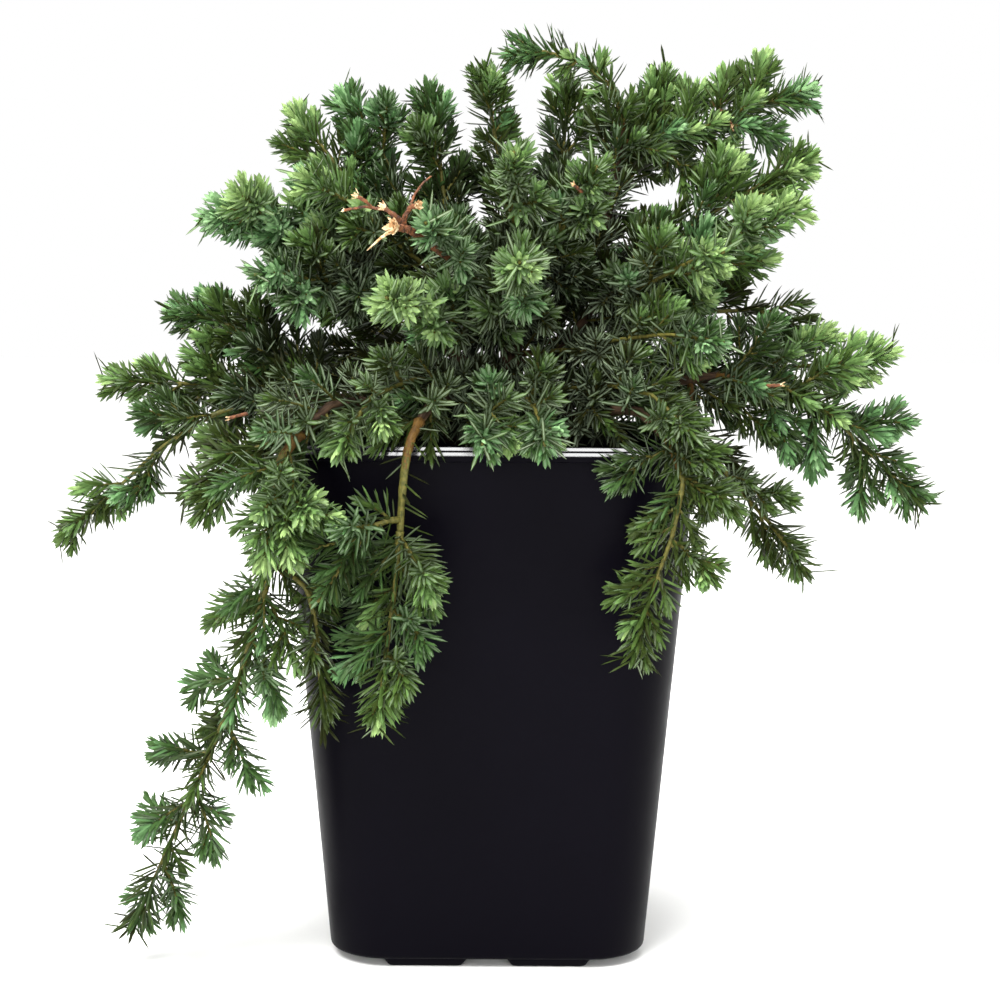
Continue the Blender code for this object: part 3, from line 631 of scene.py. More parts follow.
def frames(along):
    """Two directions square to each station's own, that turn as little as they can from one to the next."""
    first = np.array(Vector(along[0]).orthogonal().normalized())
    across = np.empty_like(along)
    for i, direction in enumerate(along):
        first = first - direction * (first @ direction)
        first = first / np.linalg.norm(first)
        across[i] = first
    return across, np.cross(along, across)


class MeshParts:
    """Vertices, faces and material numbers that pile up into one mesh."""

    def __init__(self):
        self.points, self.loops, self.sizes, self.numbers, self.count = [], [], [], [], 0

    def add(self, points, faces, numbers):
        """Adds faces, all of one size, as rows of vertex numbers."""
        self.loops.append((faces + self.count).ravel())
        self.sizes.append(np.full(len(faces), faces.shape[1]))
        self.numbers.append(np.broadcast_to(numbers, len(faces)))
        if points is not None:
            self.points.append(points)

    def done(self):
        """Ends one body of vertices, so that the next faces count from its end."""
        self.count = sum(len(p) for p in self.points)

    def triangles(self):
        return int(sum((s - 2).sum() for s in self.sizes))

    def to_object(self, name, materials, smooth):
        points, loops = np.concatenate(self.points), np.concatenate(self.loops)
        sizes, numbers = np.concatenate(self.sizes), np.concatenate(self.numbers)
        mesh = bpy.data.meshes.new(name)
        mesh.vertices.add(len(points))
        mesh.vertices.foreach_set("co", points.astype(np.float32).ravel())
        mesh.loops.add(len(loops))
        mesh.loops.foreach_set("vertex_index", loops.astype(np.int32))
        mesh.polygons.add(len(sizes))
        mesh.polygons.foreach_set("loop_start", (np.cumsum(sizes) - sizes).astype(np.int32))
        mesh.polygons.foreach_set("material_index", numbers.astype(np.int32))
        mesh.polygons.foreach_set("use_smooth", np.full(len(sizes), smooth))
        for material in materials:
            mesh.materials.append(material)
        mesh.update(calc_edges=True)
        return link_piece(name, mesh)


def link_piece(name, mesh):
    piece = bpy.data.objects.new(name, mesh)
    bpy.context.scene.collection.objects.link(piece)
    return piece


def keep_piece(piece, slot, *nodes):
    """Lets a finished piece ride on the plant's body, and stand for these nodes."""
    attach(piece, BODY)
    if nodes:
        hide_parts(*nodes)


def ring_faces(rings, sides):
    """The quads that join a number of rings in a row, and the polygons that close its two ends."""
    low = np.arange(rings - 1)[:, None] * sides + np.arange(sides)[None]
    after = np.arange(rings - 1)[:, None] * sides + (np.arange(sides)[None] + 1) % sides
    quads = np.stack([low, after, after + sides, low + sides], axis=-1).reshape(-1, 4)
    last = (rings - 1) * sides
    return quads, np.array([np.arange(sides)[::-1], last + np.arange(sides)])


def tube_rings(centres, along, radii, sides):
    """Vertices of a tube and its faces: quads along it and two ends, one polygon each."""
    across, beside = frames(along)
    turns = np.arange(sides) * 2 * math.pi / sides
    radii = np.broadcast_to(np.asarray(radii, float).reshape(len(centres), -1), (len(centres), sides))
    ring = across[:, None] * np.cos(turns)[None, :, None] + beside[:, None] * np.sin(turns)[None, :, None]
    points = centres[:, None] + ring * radii[..., None]
    return points.reshape(-1, 3), *ring_faces(len(centres), sides)


# Materials


def add_node(material, kind, settings=None, links=None):
    """Adds a node, sets its properties and free inputs, and links its inputs to (node, output) pairs."""
    node = material.node_tree.nodes.new(kind)
    for name, value in (settings or {}).items():
        if isinstance(name, str) and hasattr(node, name):
            setattr(node, name, value)
        else:
            node.inputs[name].default_value = value
    for name, (source, output) in (links or {}).items():
        material.node_tree.links.new(source.outputs[output], node.inputs[name])
    return node


def new_material(name, shader_settings):
    """A material with its own shader, ready for links to the shader's inputs."""
    material = bpy.data.materials.new(name)
    material.use_nodes = True
    shader = material.node_tree.nodes["Principled BSDF"]
    for socket, value in shader_settings.items():
        shader.inputs[socket].default_value = value
    return material, shader


def link(material, source, output, node, socket):
    material.node_tree.links.new(source.outputs[output], node.inputs[socket])


def per_metre(size):
    """A pattern's scale for object coordinates in metres, from the size in metres that it repeats over."""
    return 1 / size


def rgba(colour, share=1.0):
    return (*(min(1, c * share) for c in colour), 1)


def blend(a, b, share):
    return tuple(lerp(x, y, share) for x, y in zip(a, b))


def mottled_material(name, dark, light, size, shader_settings, relief=0.0, relief_size=None, stretch=None):
    """A material whose colour drifts between two over patches of a real size, with a fine relief on it."""
    material, shader = new_material(name, shader_settings)
    where = add_node(material, "ShaderNodeTexCoord")
    place = (where, "Object")
    if stretch:
        where = add_node(material, "ShaderNodeUVMap", {"uv_map": "bark"})
        mapping = add_node(material, "ShaderNodeMapping", {"Scale": stretch}, {"Vector": (where, "UV")})
        place = (mapping, "Vector")
    patches = add_node(
        material,
        "ShaderNodeTexNoise",
        {"Scale": per_metre(size), "Detail": 3.0, "Roughness": 0.6},
        {"Vector": place},
    )
    spread = add_node(
        material,
        "ShaderNodeMapRange",
        {"From Min": 0.32, "From Max": 0.68},
        {"Value": (patches, "Fac")},
    )
    colours = add_node(
        material,
        "ShaderNodeMix",
        {"data_type": "RGBA", 6: rgba(dark), 7: rgba(light)},
        {0: (spread, "Result")},
    )
    link(material, colours, 2, shader, "Base Color")
    if relief:
        grain = add_node(
            material,
            "ShaderNodeTexNoise",
            {"Scale": per_metre(relief_size), "Detail": 2.0, "Roughness": 0.55},
            {"Vector": place},
        )
        bump = add_node(
            material, "ShaderNodeBump", {"Strength": 0.8, "Distance": relief}, {"Height": (grain, "Fac")}
        )
        link(material, bump, "Normal", shader, "Normal")
    return material


def moulded_polypropylene(settings):
    """Black polypropylene, injection moulded: a satin skin with a faint orange peel."""
    # Polypropylene has an IOR of about 1.49. The skin ripples over 2 to 3 mm and is dusted with fine scuffs.
    material, shader = new_material(
        "moulded_black_polypropylene",
        {"Roughness": settings.roughness, "IOR": 1.49, "Metallic": 0.0, "Specular IOR Level": 0.03},
    )
    where = add_node(material, "ShaderNodeTexCoord")
    clouds = add_node(
        material,
        "ShaderNodeTexNoise",
        {"Scale": per_metre(26 * MM), "Detail": 4.0, "Roughness": 0.6},
        {"Vector": (where, "Object")},
    )
    wall = tuple(settings.wall_colour)
    colours = add_node(
        material,
        "ShaderNodeMix",
        {"data_type": "RGBA", 6: rgba(wall, 0.88), 7: rgba(wall, 1.15)},
        {0: (clouds, "Fac")},
    )
    link(material, colours, 2, shader, "Base Color")
    scuffs = add_node(
        material,
        "ShaderNodeTexNoise",
        {"Scale": per_metre(9 * MM), "Detail": 5.0, "Roughness": 0.7},
        {"Vector": (where, "Object")},
    )
    smoothest, roughest = settings.roughness - 0.05, settings.roughness + 0.07
    gloss = add_node(
        material,
        "ShaderNodeMapRange",
        {"From Min": 0.3, "From Max": 0.7, "To Min": smoothest, "To Max": roughest},
        {"Value": (scuffs, "Fac")},
    )
    link(material, gloss, "Result", shader, "Roughness")
    peel = add_node(
        material,
        "ShaderNodeTexNoise",
        {"Scale": per_metre(2.4 * MM), "Detail": 2.0},
        {"Vector": (where, "Object")},
    )
    bump = add_node(
        material, "ShaderNodeBump", {"Strength": 0.5, "Distance": 0.03 * MM}, {"Height": (peel, "Fac")}
    )
    link(material, bump, "Normal", shader, "Normal")
    return material


def polished_lip(settings):
    """The lip of the same polypropylene, from the polished part of the mould: smoother, and shinier."""
    # The lip takes the bare plastic's full reflection at IOR 1.49, with only fine rubbing marks 3 mm apart.
    wall = tuple(settings.wall_colour)
    return mottled_material(
        "polished_polypropylene_lip",
        rgba(wall, 0.9)[:3],
        rgba(wall, 1.3)[:3],
        3 * MM,
        {"Roughness": settings.lip_roughness, "IOR": 1.49, "Metallic": 0.0, "Specular IOR Level": 1.0},
    )


@functools.lru_cache(maxsize=1)
def needle_materials():
    """Waxy juniper needles in five ages of a greener and a bluer kind, each with its pale upper band."""
    # A living needle has a thin clear wax skin, IOR about 1.45, so it shines softly. The bloom of loose wax
    # on its upper side is paler and duller. Each drifts a little in colour over 4 mm, about half a needle.
    shrub = bpy.context.scene.juniper_shrub
    wax = linear("#a6b99a")
    materials = []
    for kind, tint in (("", (1, 1, 1)), ("cool_", COOL_TINT)):
        for age_and_shade, name in enumerate(AGES):
            back = tuple(c * t for c, t in zip(getattr(shrub, name), tint))
            # The younger the needle, the thinner its bloom
            band = blend(back, wax, shrub.bloom * (1 - 0.11 * age_and_shade))
            for side, colour, darkest, lightest, roughness in (
                ("needle_", back, 0.72, 1.22, 0.38),
                ("needle_band_", band, 0.78, 1.15, 0.5),
            ):
                materials.append(
                    mottled_material(
                        side + kind + name,
                        tuple(c * darkest for c in colour),
                        tuple(c * lightest for c in colour),
                        4 * MM,
                        {"Roughness": roughness, "IOR": 1.45, "Specular IOR Level": 0.16},
                    )
                )
    return materials


@functools.lru_cache(maxsize=1)
def wood_materials():
    """Bark of three ages: flaking brown, smooth tan, and smooth green."""
    # Old juniper bark peels in strips about 1 mm wide and 6 mm long, matt and fibrous. Young bark is smooth,
    # with a slight sheen, and drifts between two shades over about a millimetre.
    shrub = bpy.context.scene.juniper_shrub
    bark, young, green = (tuple(getattr(shrub, name)) for name in ("bark", "young_wood", "green_wood"))
    flaking = mottled_material(
        "flaking_juniper_bark",
        tuple(c * 0.45 for c in bark),
        blend(bark, linear("#6b5138"), 0.4),
        1.3 * MM,
        {"Roughness": 0.86, "IOR": 1.5, "Specular IOR Level": 0.2},
        relief=0.35 * MM,
        relief_size=0.8 * MM,
        stretch=(1.0, 0.2, 1.0),
    )
    tan = mottled_material(
        "young_juniper_wood",
        blend(young, linear("#2c1a10"), 0.7),
        young,
        1.2 * MM,
        {"Roughness": 0.6, "IOR": 1.48, "Specular IOR Level": 0.2},
        relief=0.2 * MM,
        relief_size=0.6 * MM,
    )
    fresh = mottled_material(
        "green_juniper_wood",
        tuple(c * 0.6 for c in green),
        blend(green, linear("#86793a"), 0.4),
        1.4 * MM,
        {"Roughness": 0.55, "IOR": 1.48, "Specular IOR Level": 0.2},
        relief=0.15 * MM,
        relief_size=0.6 * MM,
    )
    return [flaking, tan, fresh]


# Needles


# A needle's outline: a root point, two rings and a sharp tip. The rings are shares of its length and of its
# width. Each ring starts at the band's two edges, then passes the needle's far edge, the keel of its back and
# its near edge. Each point is given across the needle and up from it, as shares of half its width.
NEEDLE_RINGS = ((0.13, 0.92), (0.76, 0.86))
NEEDLE_SECTION = ((-0.5, -0.1), (0.5, -0.1), (1.0, 0.06), (0.0, -0.66), (-1.0, 0.06))
NEEDLE_SIDES = len(NEEDLE_SECTION)
NEEDLES_IN_WHORL = 3
# How far apart old needles stand on a stem. Where its shoots grow in two ranks it shows between them, so its
# own needles stand closer. A green bough bears fewer.
STEM_NEEDLES_APART = 1.7 * MM
RANKED_NEEDLES_APART = 0.6 * MM
BOUGH_NEEDLES_APART = 2.8 * MM


def needle_faces():
    """Triangles and quads of one needle, with 1 for a face of the pale upper band and 0 for the rest."""
    ring_1, ring_2, tip = 1, 1 + NEEDLE_SIDES, 1 + 2 * NEEDLE_SIDES
    triangles, quads, band = [], [], []
    for k in range(NEEDLE_SIDES):
        after = (k + 1) % NEEDLE_SIDES
        triangles.append((0, ring_1 + after, ring_1 + k))
        triangles.append((ring_2 + k, ring_2 + after, tip))
        quads.append((ring_1 + k, ring_1 + after, ring_2 + after, ring_2 + k))
        band.append(1 if k == 0 else 0)
    return np.array(triangles), np.array(quads), np.repeat(band, 2), np.array(band)


def needle_points(roots, along, upper, length, width, curve):
    """The points of each needle. Upper is the direction that its banded side faces."""
    side = np.cross(along, upper)
    points = np.empty((len(roots), 2 + 2 * NEEDLE_SIDES, 3))
    points[:, 0] = roots
    for number, (share, breadth) in enumerate(NEEDLE_RINGS):
        centre = roots + along * (length * share)[:, None] + upper * (curve * length * share**2)[:, None]
        half = (width * breadth / 2)[:, None]
        for corner, (across, up) in enumerate(NEEDLE_SECTION):
            points[:, 1 + number * NEEDLE_SIDES + corner] = centre + side * half * across + upper * half * up
    points[:, -1] = roots + along * length[:, None] + upper * (curve * length)[:, None]
    return points


def needles_on(shoot, rng, shrub):
    """Roots, directions, sizes and ages of the needles of one shoot, in whorls of three, the ages darkened by
    the painted shade that the shoot's tone carries.
    """
    length = length_of(shoot.points) - TIP_ROOM
    gap = shrub.whorl_gap
    distances, at = [], shoot.bare * length + rng.uniform(0.2, 1.0) * gap
    while at < length - 0.4 * MM:
        distances.append(at)
        at += gap * lerp(1.1, 0.5 if shoot.bright else 0.8, (at / length) ** 2) * rng.uniform(0.85, 1.15)
    distances = np.array(distances + [length])
    centres, axis = stations(shoot.points, distances)
    across, beside = frames(axis)
    share = distances / length
    whorls = len(distances)
    each = (whorls, NEEDLES_IN_WHORL)
    # Each whorl stands over the gaps of the one below.
    turn = rng.uniform(0, 2 * math.pi) + np.arange(whorls)[:, None] * math.pi / NEEDLES_IN_WHORL
    needle = np.arange(NEEDLES_IN_WHORL)[None]
    turn = turn + needle * 2 * math.pi / NEEDLES_IN_WHORL + rng.normal(0, 0.16, each)
    # Needles lean out further, and are longer, thinner and older, the further they are from the shoot's tip.
    to_tip = (length - distances)[:, None]
    spread = np.interp(to_tip, [0, 2 * MM, 7 * MM, 16 * MM], [16, 34, 48, 58])
    spread = np.radians(spread + rng.normal(0, 6, each))
    radial = across[:, None] * np.cos(turn)[..., None] + beside[:, None] * np.sin(turn)[..., None]
    axis = np.broadcast_to(axis[:, None], radial.shape)
    along = axis * np.cos(spread)[..., None] + radial * np.sin(spread)[..., None]
    upper = axis * np.sin(spread)[..., None] - radial * np.cos(spread)[..., None]
    radius = lerp(shoot.radii[0], shoot.radii[1], share)[:, None]
    roots = centres[:, None] + radial * (radius * 0.55)[..., None]
    size = np.interp(to_tip, [0, 3 * MM, 9 * MM, 30 * MM], [0.62, 0.82, 1.0, 1.06])
    size = size * shoot.leaf * rng.uniform(0.84, 1.12, each)
    breadths = [1.3, 1.2, 1.0] if shoot.bright else [1.1, 1.05, 0.95]
    plump = np.interp(to_tip, [0, 5 * MM, 12 * MM], breadths)
    young = np.interp(to_tip, [0, 4 * MM, 10 * MM, 20 * MM], [1.0, 0.7, 0.15, 0.0])
    # The shoot's tone carries the painted shade of the crown's inside into each needle's colour step
    age_and_shade = shoot.tone + young * (2.4 if shoot.bright else 0.9) + rng.normal(0, 0.22, each)

    def one_by_one(values):
        """The values of whorls, or of needles in whorls, as one row for each needle."""
        return np.broadcast_to(values, each + values.shape[2:]).reshape(-1, *values.shape[2:])

    return (
        one_by_one(roots),
        one_by_one(along),
        one_by_one(upper),
        one_by_one(size) * shrub.needle_length,
        one_by_one(plump) * shrub.needle_width * rng.uniform(0.85, 1.1, whorls * NEEDLES_IN_WHORL),
        rng.uniform(-0.03, 0.10, whorls * NEEDLES_IN_WHORL),
        np.clip(np.round(one_by_one(age_and_shade)), 0, len(AGES) - 1).astype(int) + len(AGES) * shoot.cool,
    )


def sparse_needles_on(points, radii, tone, apart, rng, shrub):
    """The old needles that still stand on a stem below its shoots: long, thin and about this far apart."""
    length = length_of(points)
    count = max(2, int(length / apart))
    distances = (np.arange(count) + rng.uniform(0.1, 0.9, count)) / count * length
    centres, axis = stations(points, distances)
    across, beside = frames(axis)
    turn = rng.uniform(0, 2 * math.pi, count)
    spread = np.radians(rng.uniform(48, 80, count))
    radial = across * np.cos(turn)[:, None] + beside * np.sin(turn)[:, None]
    along = axis * np.cos(spread)[:, None] + radial * np.sin(spread)[:, None]
    upper = axis * np.sin(spread)[:, None] - radial * np.cos(spread)[:, None]
    radius = lerp(radii[0], radii[1], distances / length)[:, None]
    age_and_shade = np.clip(np.round(tone - 0.3 + rng.normal(0, 0.4, count)), 0, 2).astype(int)
    return (
        centres + radial * radius * 0.6,
        along,
        upper,
        shrub.needle_length * rng.uniform(0.9, 1.2, count),
        shrub.needle_width * rng.uniform(0.7, 0.9, count),
        rng.uniform(-0.05, 0.08, count),
        age_and_shade,
    )


def region_of(name):
    return next(region for region, words in REGIONS if name.startswith(words))


# Pieces


def rounded_square(half, corner, height, steps=14):
    """A ring of points round a square with round corners."""
    ring = []
    for quarter in range(4):
        middle_turn = math.pi / 2 * quarter + math.pi / 4
        middle = (half - corner) * math.sqrt(2)
        for step in range(steps + 1):
            turn = math.pi / 2 * (quarter + step / steps)
            ring.append(
                (
                    middle * math.cos(middle_turn) + corner * math.cos(turn),
                    middle * math.sin(middle_turn) + corner * math.sin(turn),
                    height,
                )
            )
    return np.array(ring)


def stack_rings(name, rings, materials):
    """An object from a stack of like rings, capped at the first and the last."""
    quads, ends = ring_faces(len(rings), len(rings[0]))
    parts = MeshParts()
    parts.add(np.concatenate(rings), quads, 0)
    parts.add(None, ends, 0)
    return parts.to_object(name, materials, True)


def wall_share(height):
    return (height - FOOT_HEIGHT) / (POT_HEIGHT - FOOT_HEIGHT)


def wall_ring(height, inset=0.0):
    """A ring at this height, inset from the plain wall's outside."""
    half = lerp(BASE_HALF, RIM_HALF - RIM_STEP, wall_share(height))
    return rounded_square(half - inset, lerp(EDGE_CORNER, RIM_CORNER, wall_share(height)) - inset, height)


def rim_ring(inset, below):
    """A ring of the rim, inset from its outer face and below its top."""
    return rounded_square(RIM_HALF - inset, RIM_CORNER - inset, POT_HEIGHT - below)


def apply_boolean(piece, operation, other):
    """Fuses a collection of objects into the piece, or cuts one object from it, and removes them."""
    change = piece.modifiers.new("boolean", "BOOLEAN")
    change.operation = operation
    change.solver = "EXACT"
    if operation == "UNION":
        change.operand_type = "COLLECTION"
        change.collection = other
        used = list(other.objects)
    else:
        change.object = other
        used = [other]
    graph = bpy.context.evaluated_depsgraph_get()
    piece.data = bpy.data.meshes.new_from_object(piece.evaluated_get(graph))
    piece.modifiers.clear()
    for item in used:
        bpy.data.objects.remove(item)
    if operation == "UNION":
        bpy.data.collections.remove(other)


def build_pot(settings):
    """The moulded pot: tapering wall, rim band with two beads, rounded foot edge, feet and drain slots."""
    materials = [moulded_polypropylene(settings), polished_lip(settings)]
    bead = settings.lip_bead
    floor = FOOT_HEIGHT + WALL
    band_foot = POT_HEIGHT - RIM_BAND
    rings = [wall_ring(FOOT_HEIGHT, BASE_EDGE * 1.2)]
    for step in range(5):
        turn = math.pi / 2 * step / 4
        lift, inset = 1 - math.cos(turn), 1 - math.sin(turn)
        rings.append(wall_ring(FOOT_HEIGHT + BASE_EDGE * lift, BASE_EDGE * inset * 0.98))
    rings += [wall_ring(lerp(FOOT_HEIGHT + BASE_EDGE, band_foot, step / 8)) for step in range(1, 9)]
    # Insets in millimetres, and distances below the top. The band's foot has a small fillet. Each bead has a
    # face that leans back a little, then a groove behind it.
    rings += [rim_ring(inset * MM, below) for inset, below in (
        (0.35, RIM_BAND - 0.10 * MM), (0.06, RIM_BAND - 0.35 * MM), (0.0, RIM_BAND - 0.8 * MM),
        (0.0, 2.62 * bead), (0.01, 2.54 * bead), (0.03, 2.46 * bead), (0.15, 1.64 * bead),
        (0.18, 1.56 * bead), (0.34, 1.46 * bead), (0.62, 1.40 * bead), (0.66, 1.32 * bead),
        (0.58, 1.24 * bead), (0.30, 1.18 * bead), (0.20, 1.10 * bead), (0.22, 1.03 * bead),
        (0.35, 0.17 * bead), (0.38, 0.10 * bead), (0.52, 0.02 * bead), (0.75, 0.0), (2.0, 0.0),
        (2.25, 0.30 * bead),
    )]
    rings += [
        rim_ring(RIM_STEP + WALL, RIM_BAND * 0.55),
        wall_ring(band_foot, WALL),
        wall_ring(lerp(floor, band_foot, 0.5), WALL),
        wall_ring(floor + BASE_ROUNDING, WALL),
        wall_ring(floor + BASE_ROUNDING * 0.3, WALL + BASE_ROUNDING * 0.3),
        wall_ring(floor, WALL + BASE_ROUNDING),
    ]
    pot = stack_rings("pot_moulding", rings, materials)
    feet = bpy.data.collections.new("feet")
    bpy.context.scene.collection.children.link(feet)
    for side in range(4):
        for hand in (-1, 1):
            foot = foot_shape(side, hand, materials[0])
            bpy.context.scene.collection.objects.unlink(foot)
            feet.objects.link(foot)
    apply_boolean(pot, "UNION", feet)
    apply_boolean(pot, "DIFFERENCE", slot_cutter(materials[0]))
    beads_foot = POT_HEIGHT - 2.7 * bead
    for face in pot.data.polygons:
        face.use_smooth = True
        if face.center.z > beads_foot:
            face.material_index = 1
    pot.data.set_sharp_from_angle(angle=math.radians(38))
    # The beads' faces meet in crisp level lines, so that each one mirrors its own strip of the light.
    for edge in pot.data.edges:
        low, high = sorted(pot.data.vertices[v].co.z for v in edge.vertices)
        if low > beads_foot and high - low < 0.01 * MM:
            edge.use_edge_sharp = True
    keep_piece(pot, "pot", "pot")


def side_directions(side):
    """Out of one of the pot's four sides, and along it."""
    turn = math.pi / 2 * side
    out = np.array([math.cos(turn), math.sin(turn), 0])
    return out, np.array([-out[1], out[0], 0])


def foot_shape(side, hand, material):
    """One foot: a block under the wall, flush with it outside, with round edges and a narrower sole."""
    out, beside = side_directions(side)
    middle = beside * hand * (FOOT_GAP + FOOT_WIDTH) / 2
    back = BASE_HALF - FOOT_DEPTH
    rings = []
    sole = FOOT_WIDTH / 2 - FOOT_DRAFT
    for height, half_width, face in (
        (0, sole - 0.7 * MM, BASE_HALF - BASE_ROUNDING - 0.4 * MM),
        (0.2 * MM, sole - 0.2 * MM, BASE_HALF - BASE_ROUNDING + 0.1 * MM),
        (0.7 * MM, sole + 0.3 * MM, BASE_HALF - BASE_ROUNDING + 0.5 * MM),
        (FOOT_HEIGHT - 0.7 * MM, FOOT_WIDTH / 2 - 0.9 * MM, BASE_HALF - BASE_ROUNDING * 0.6),
        (FOOT_HEIGHT + WALL / 2, FOOT_WIDTH / 2 + 0.3 * MM, BASE_HALF - BASE_ROUNDING * 0.5),
    ):
        round_by = 1.2 * MM
        ring = []
        for depth, across, corner in (
            (face, -half_width, -90), (face, half_width, 0), (back, half_width, 90), (back, -half_width, 180)
        ):
            centre_depth = depth - math.copysign(round_by, depth - (face + back) / 2)
            centre_across = across - math.copysign(round_by, across)
            for step in range(4):
                angle = math.radians(corner + 30 * step)
                ring.append(
                    middle
                    + out * (centre_depth + round_by * math.cos(angle))
                    + beside * (centre_across + round_by * math.sin(angle))
                    + np.array([0, 0, height])
                )
        rings.append(np.array(ring))
    return stack_rings("foot", rings, [material])


def slot_cutter(material):
    """Four bars that cut the drain slots through the floor, one in the gap between each pair of feet."""
    parts = MeshParts()
    outer = BASE_HALF - 8 * MM
    for side in range(4):
        out, beside = side_directions(side)
        corners = ((outer - SLOT_LENGTH, -1), (outer, -1), (outer, 1), (outer - SLOT_LENGTH, 1))
        ring = np.array([out * depth + beside * hand * SLOT_WIDTH / 2 for depth, hand in corners])
        levels = (FOOT_HEIGHT - MM, FOOT_HEIGHT + WALL + MM)
        points = np.concatenate([ring + np.array([0, 0, level]) for level in levels])
        quads, ends = ring_faces(2, len(corners))
        parts.add(points, np.concatenate([ends, quads]), 0)
        parts.done()
    return parts.to_object("slot_cutter", [material], False)


# Bark chips are laid on the potting mix until they have this many triangles
CHIP_TRIANGLES = 9600
CHIP_CORNERS = 6


def soil_fall(share):
    """How far the potting mix has fallen from its middle, at a share of the way to the wall."""
    return SOIL_FALL * min(1, max(0, (share - LEVEL_SOIL) / (1 - LEVEL_SOIL))) ** 1.5


def build_potting_mix():
    """The potting mix: a lumpy surface that falls to the wall, with bark chips lying on it."""
    # Shredded bark and peat, kept damp: dark brown, matt, with chips of 2 to 9 mm in drier, redder browns.
    mix = mottled_material(
        "damp_bark_mix", linear("#1d140e"), linear("#4a3424"), 5 * MM, {"Roughness": 0.95, "IOR": 1.4},
        relief=0.9 * MM, relief_size=1.6 * MM,
    )
    chips = [
        mottled_material(
            "bark_chip_" + name, linear(dark), linear(light), 2.5 * MM, {"Roughness": 0.9, "IOR": 1.45},
            relief=0.3 * MM, relief_size=0.8 * MM,
        )
        for name, dark, light in (
            ("dark", "#20150f", "#3d2a1e"), ("brown", "#3a2517", "#64452f"), ("pale", "#5c4330", "#8a6a4c")
        )
    ]
    inset = WALL + GAP
    low = FOOT_HEIGHT + WALL + GAP
    edge = GROUND - SOIL_FALL
    outermost = wall_ring(edge, inset)
    rings = [wall_ring(low, inset + BASE_ROUNDING), wall_ring(low + BASE_ROUNDING, inset), outermost]
    for step in range(1, 30):
        share = 1 - step / 30
        ring = outermost.copy()
        ring[:, :2] *= share
        for point in ring:
            lump = noise.fractal(Vector((point[0], point[1], 0.3)) / (7 * MM), 0.6, 2.0, 4)
            point[2] = GROUND - soil_fall(share)
            point[2] -= 0.8 * MM - 0.7 * MM * max(-1, min(1, lump)) * min(1, step / 3)
        rings.append(ring)
    surface = stack_rings("potting_mix_surface", rings, [mix])
    keep_piece(surface, "potting_mix", "potting_mix")
    lay_bark_chips(chips)


def lay_bark_chips(materials):
    """Bark chips that lie about on the potting mix, between the trunk and the wall."""
    quads, ends = ring_faces(2, CHIP_CORNERS)
    rng = np.random.default_rng(41)
    parts = MeshParts()
    while parts.triangles() < CHIP_TRIANGLES:
        x, y = rng.uniform(-66 * MM, 66 * MM, 2)
        length = rng.uniform(2, 8.5) * MM
        half = length * 0.6
        from_wall = pot_distance(np.array([[x, y, GROUND]]))[0]
        if from_wall > -WALL - RIM_STEP - half or math.hypot(x - TRUNK_FOOT.x, y) < FLARE_RADIUS + half:
            continue
        fall = soil_fall(max(abs(x), abs(y)) / (RIM_HALF - 3 * MM))
        turn = Euler((rng.normal(0, 0.22), rng.normal(0, 0.22), rng.uniform(0, 6.28))).to_matrix()
        height = rng.uniform(0.8, 2.0) * MM
        width = length * rng.uniform(0.3, 0.7)
        corners = []
        for level, shrink in ((0, 1.0), (1, 0.8)):
            for k in range(CHIP_CORNERS):
                angle = 2 * math.pi * k / CHIP_CORNERS
                reach = shrink * rng.uniform(0.75, 1.1) / 2
                along, beside = math.cos(angle) * length * reach, math.sin(angle) * width * reach
                corner = turn @ Vector((along, beside, level * height))
                corners.append(corner + Vector((x, y, GROUND - fall - 0.9 * MM)))
        colour = int(rng.choice(3, p=(0.45, 0.4, 0.15)))
        parts.add(as_array(corners), quads, colour)
        parts.add(None, ends, colour)
        parts.done()
    keep_piece(parts.to_object("bark_chips", materials, False), "potting_mix")


# How rough the bark is, as a share of its radius
TRUNK_RELIEF = 0.20
BOUGH_RELIEF = 0.24
THIN_BOUGH_RELIEF = 0.45
# The foot of a stem has tan bark over this share of its length
TAN_SHARE = 0.12
STEM_TUBE_SIDES = 8
STEM_TUBE_RINGS = 22
SHOOT_TUBE_SIDES = 4
SHOOT_TUBE_RINGS = 5
SNAPPED_TUBE_SIDES = 9


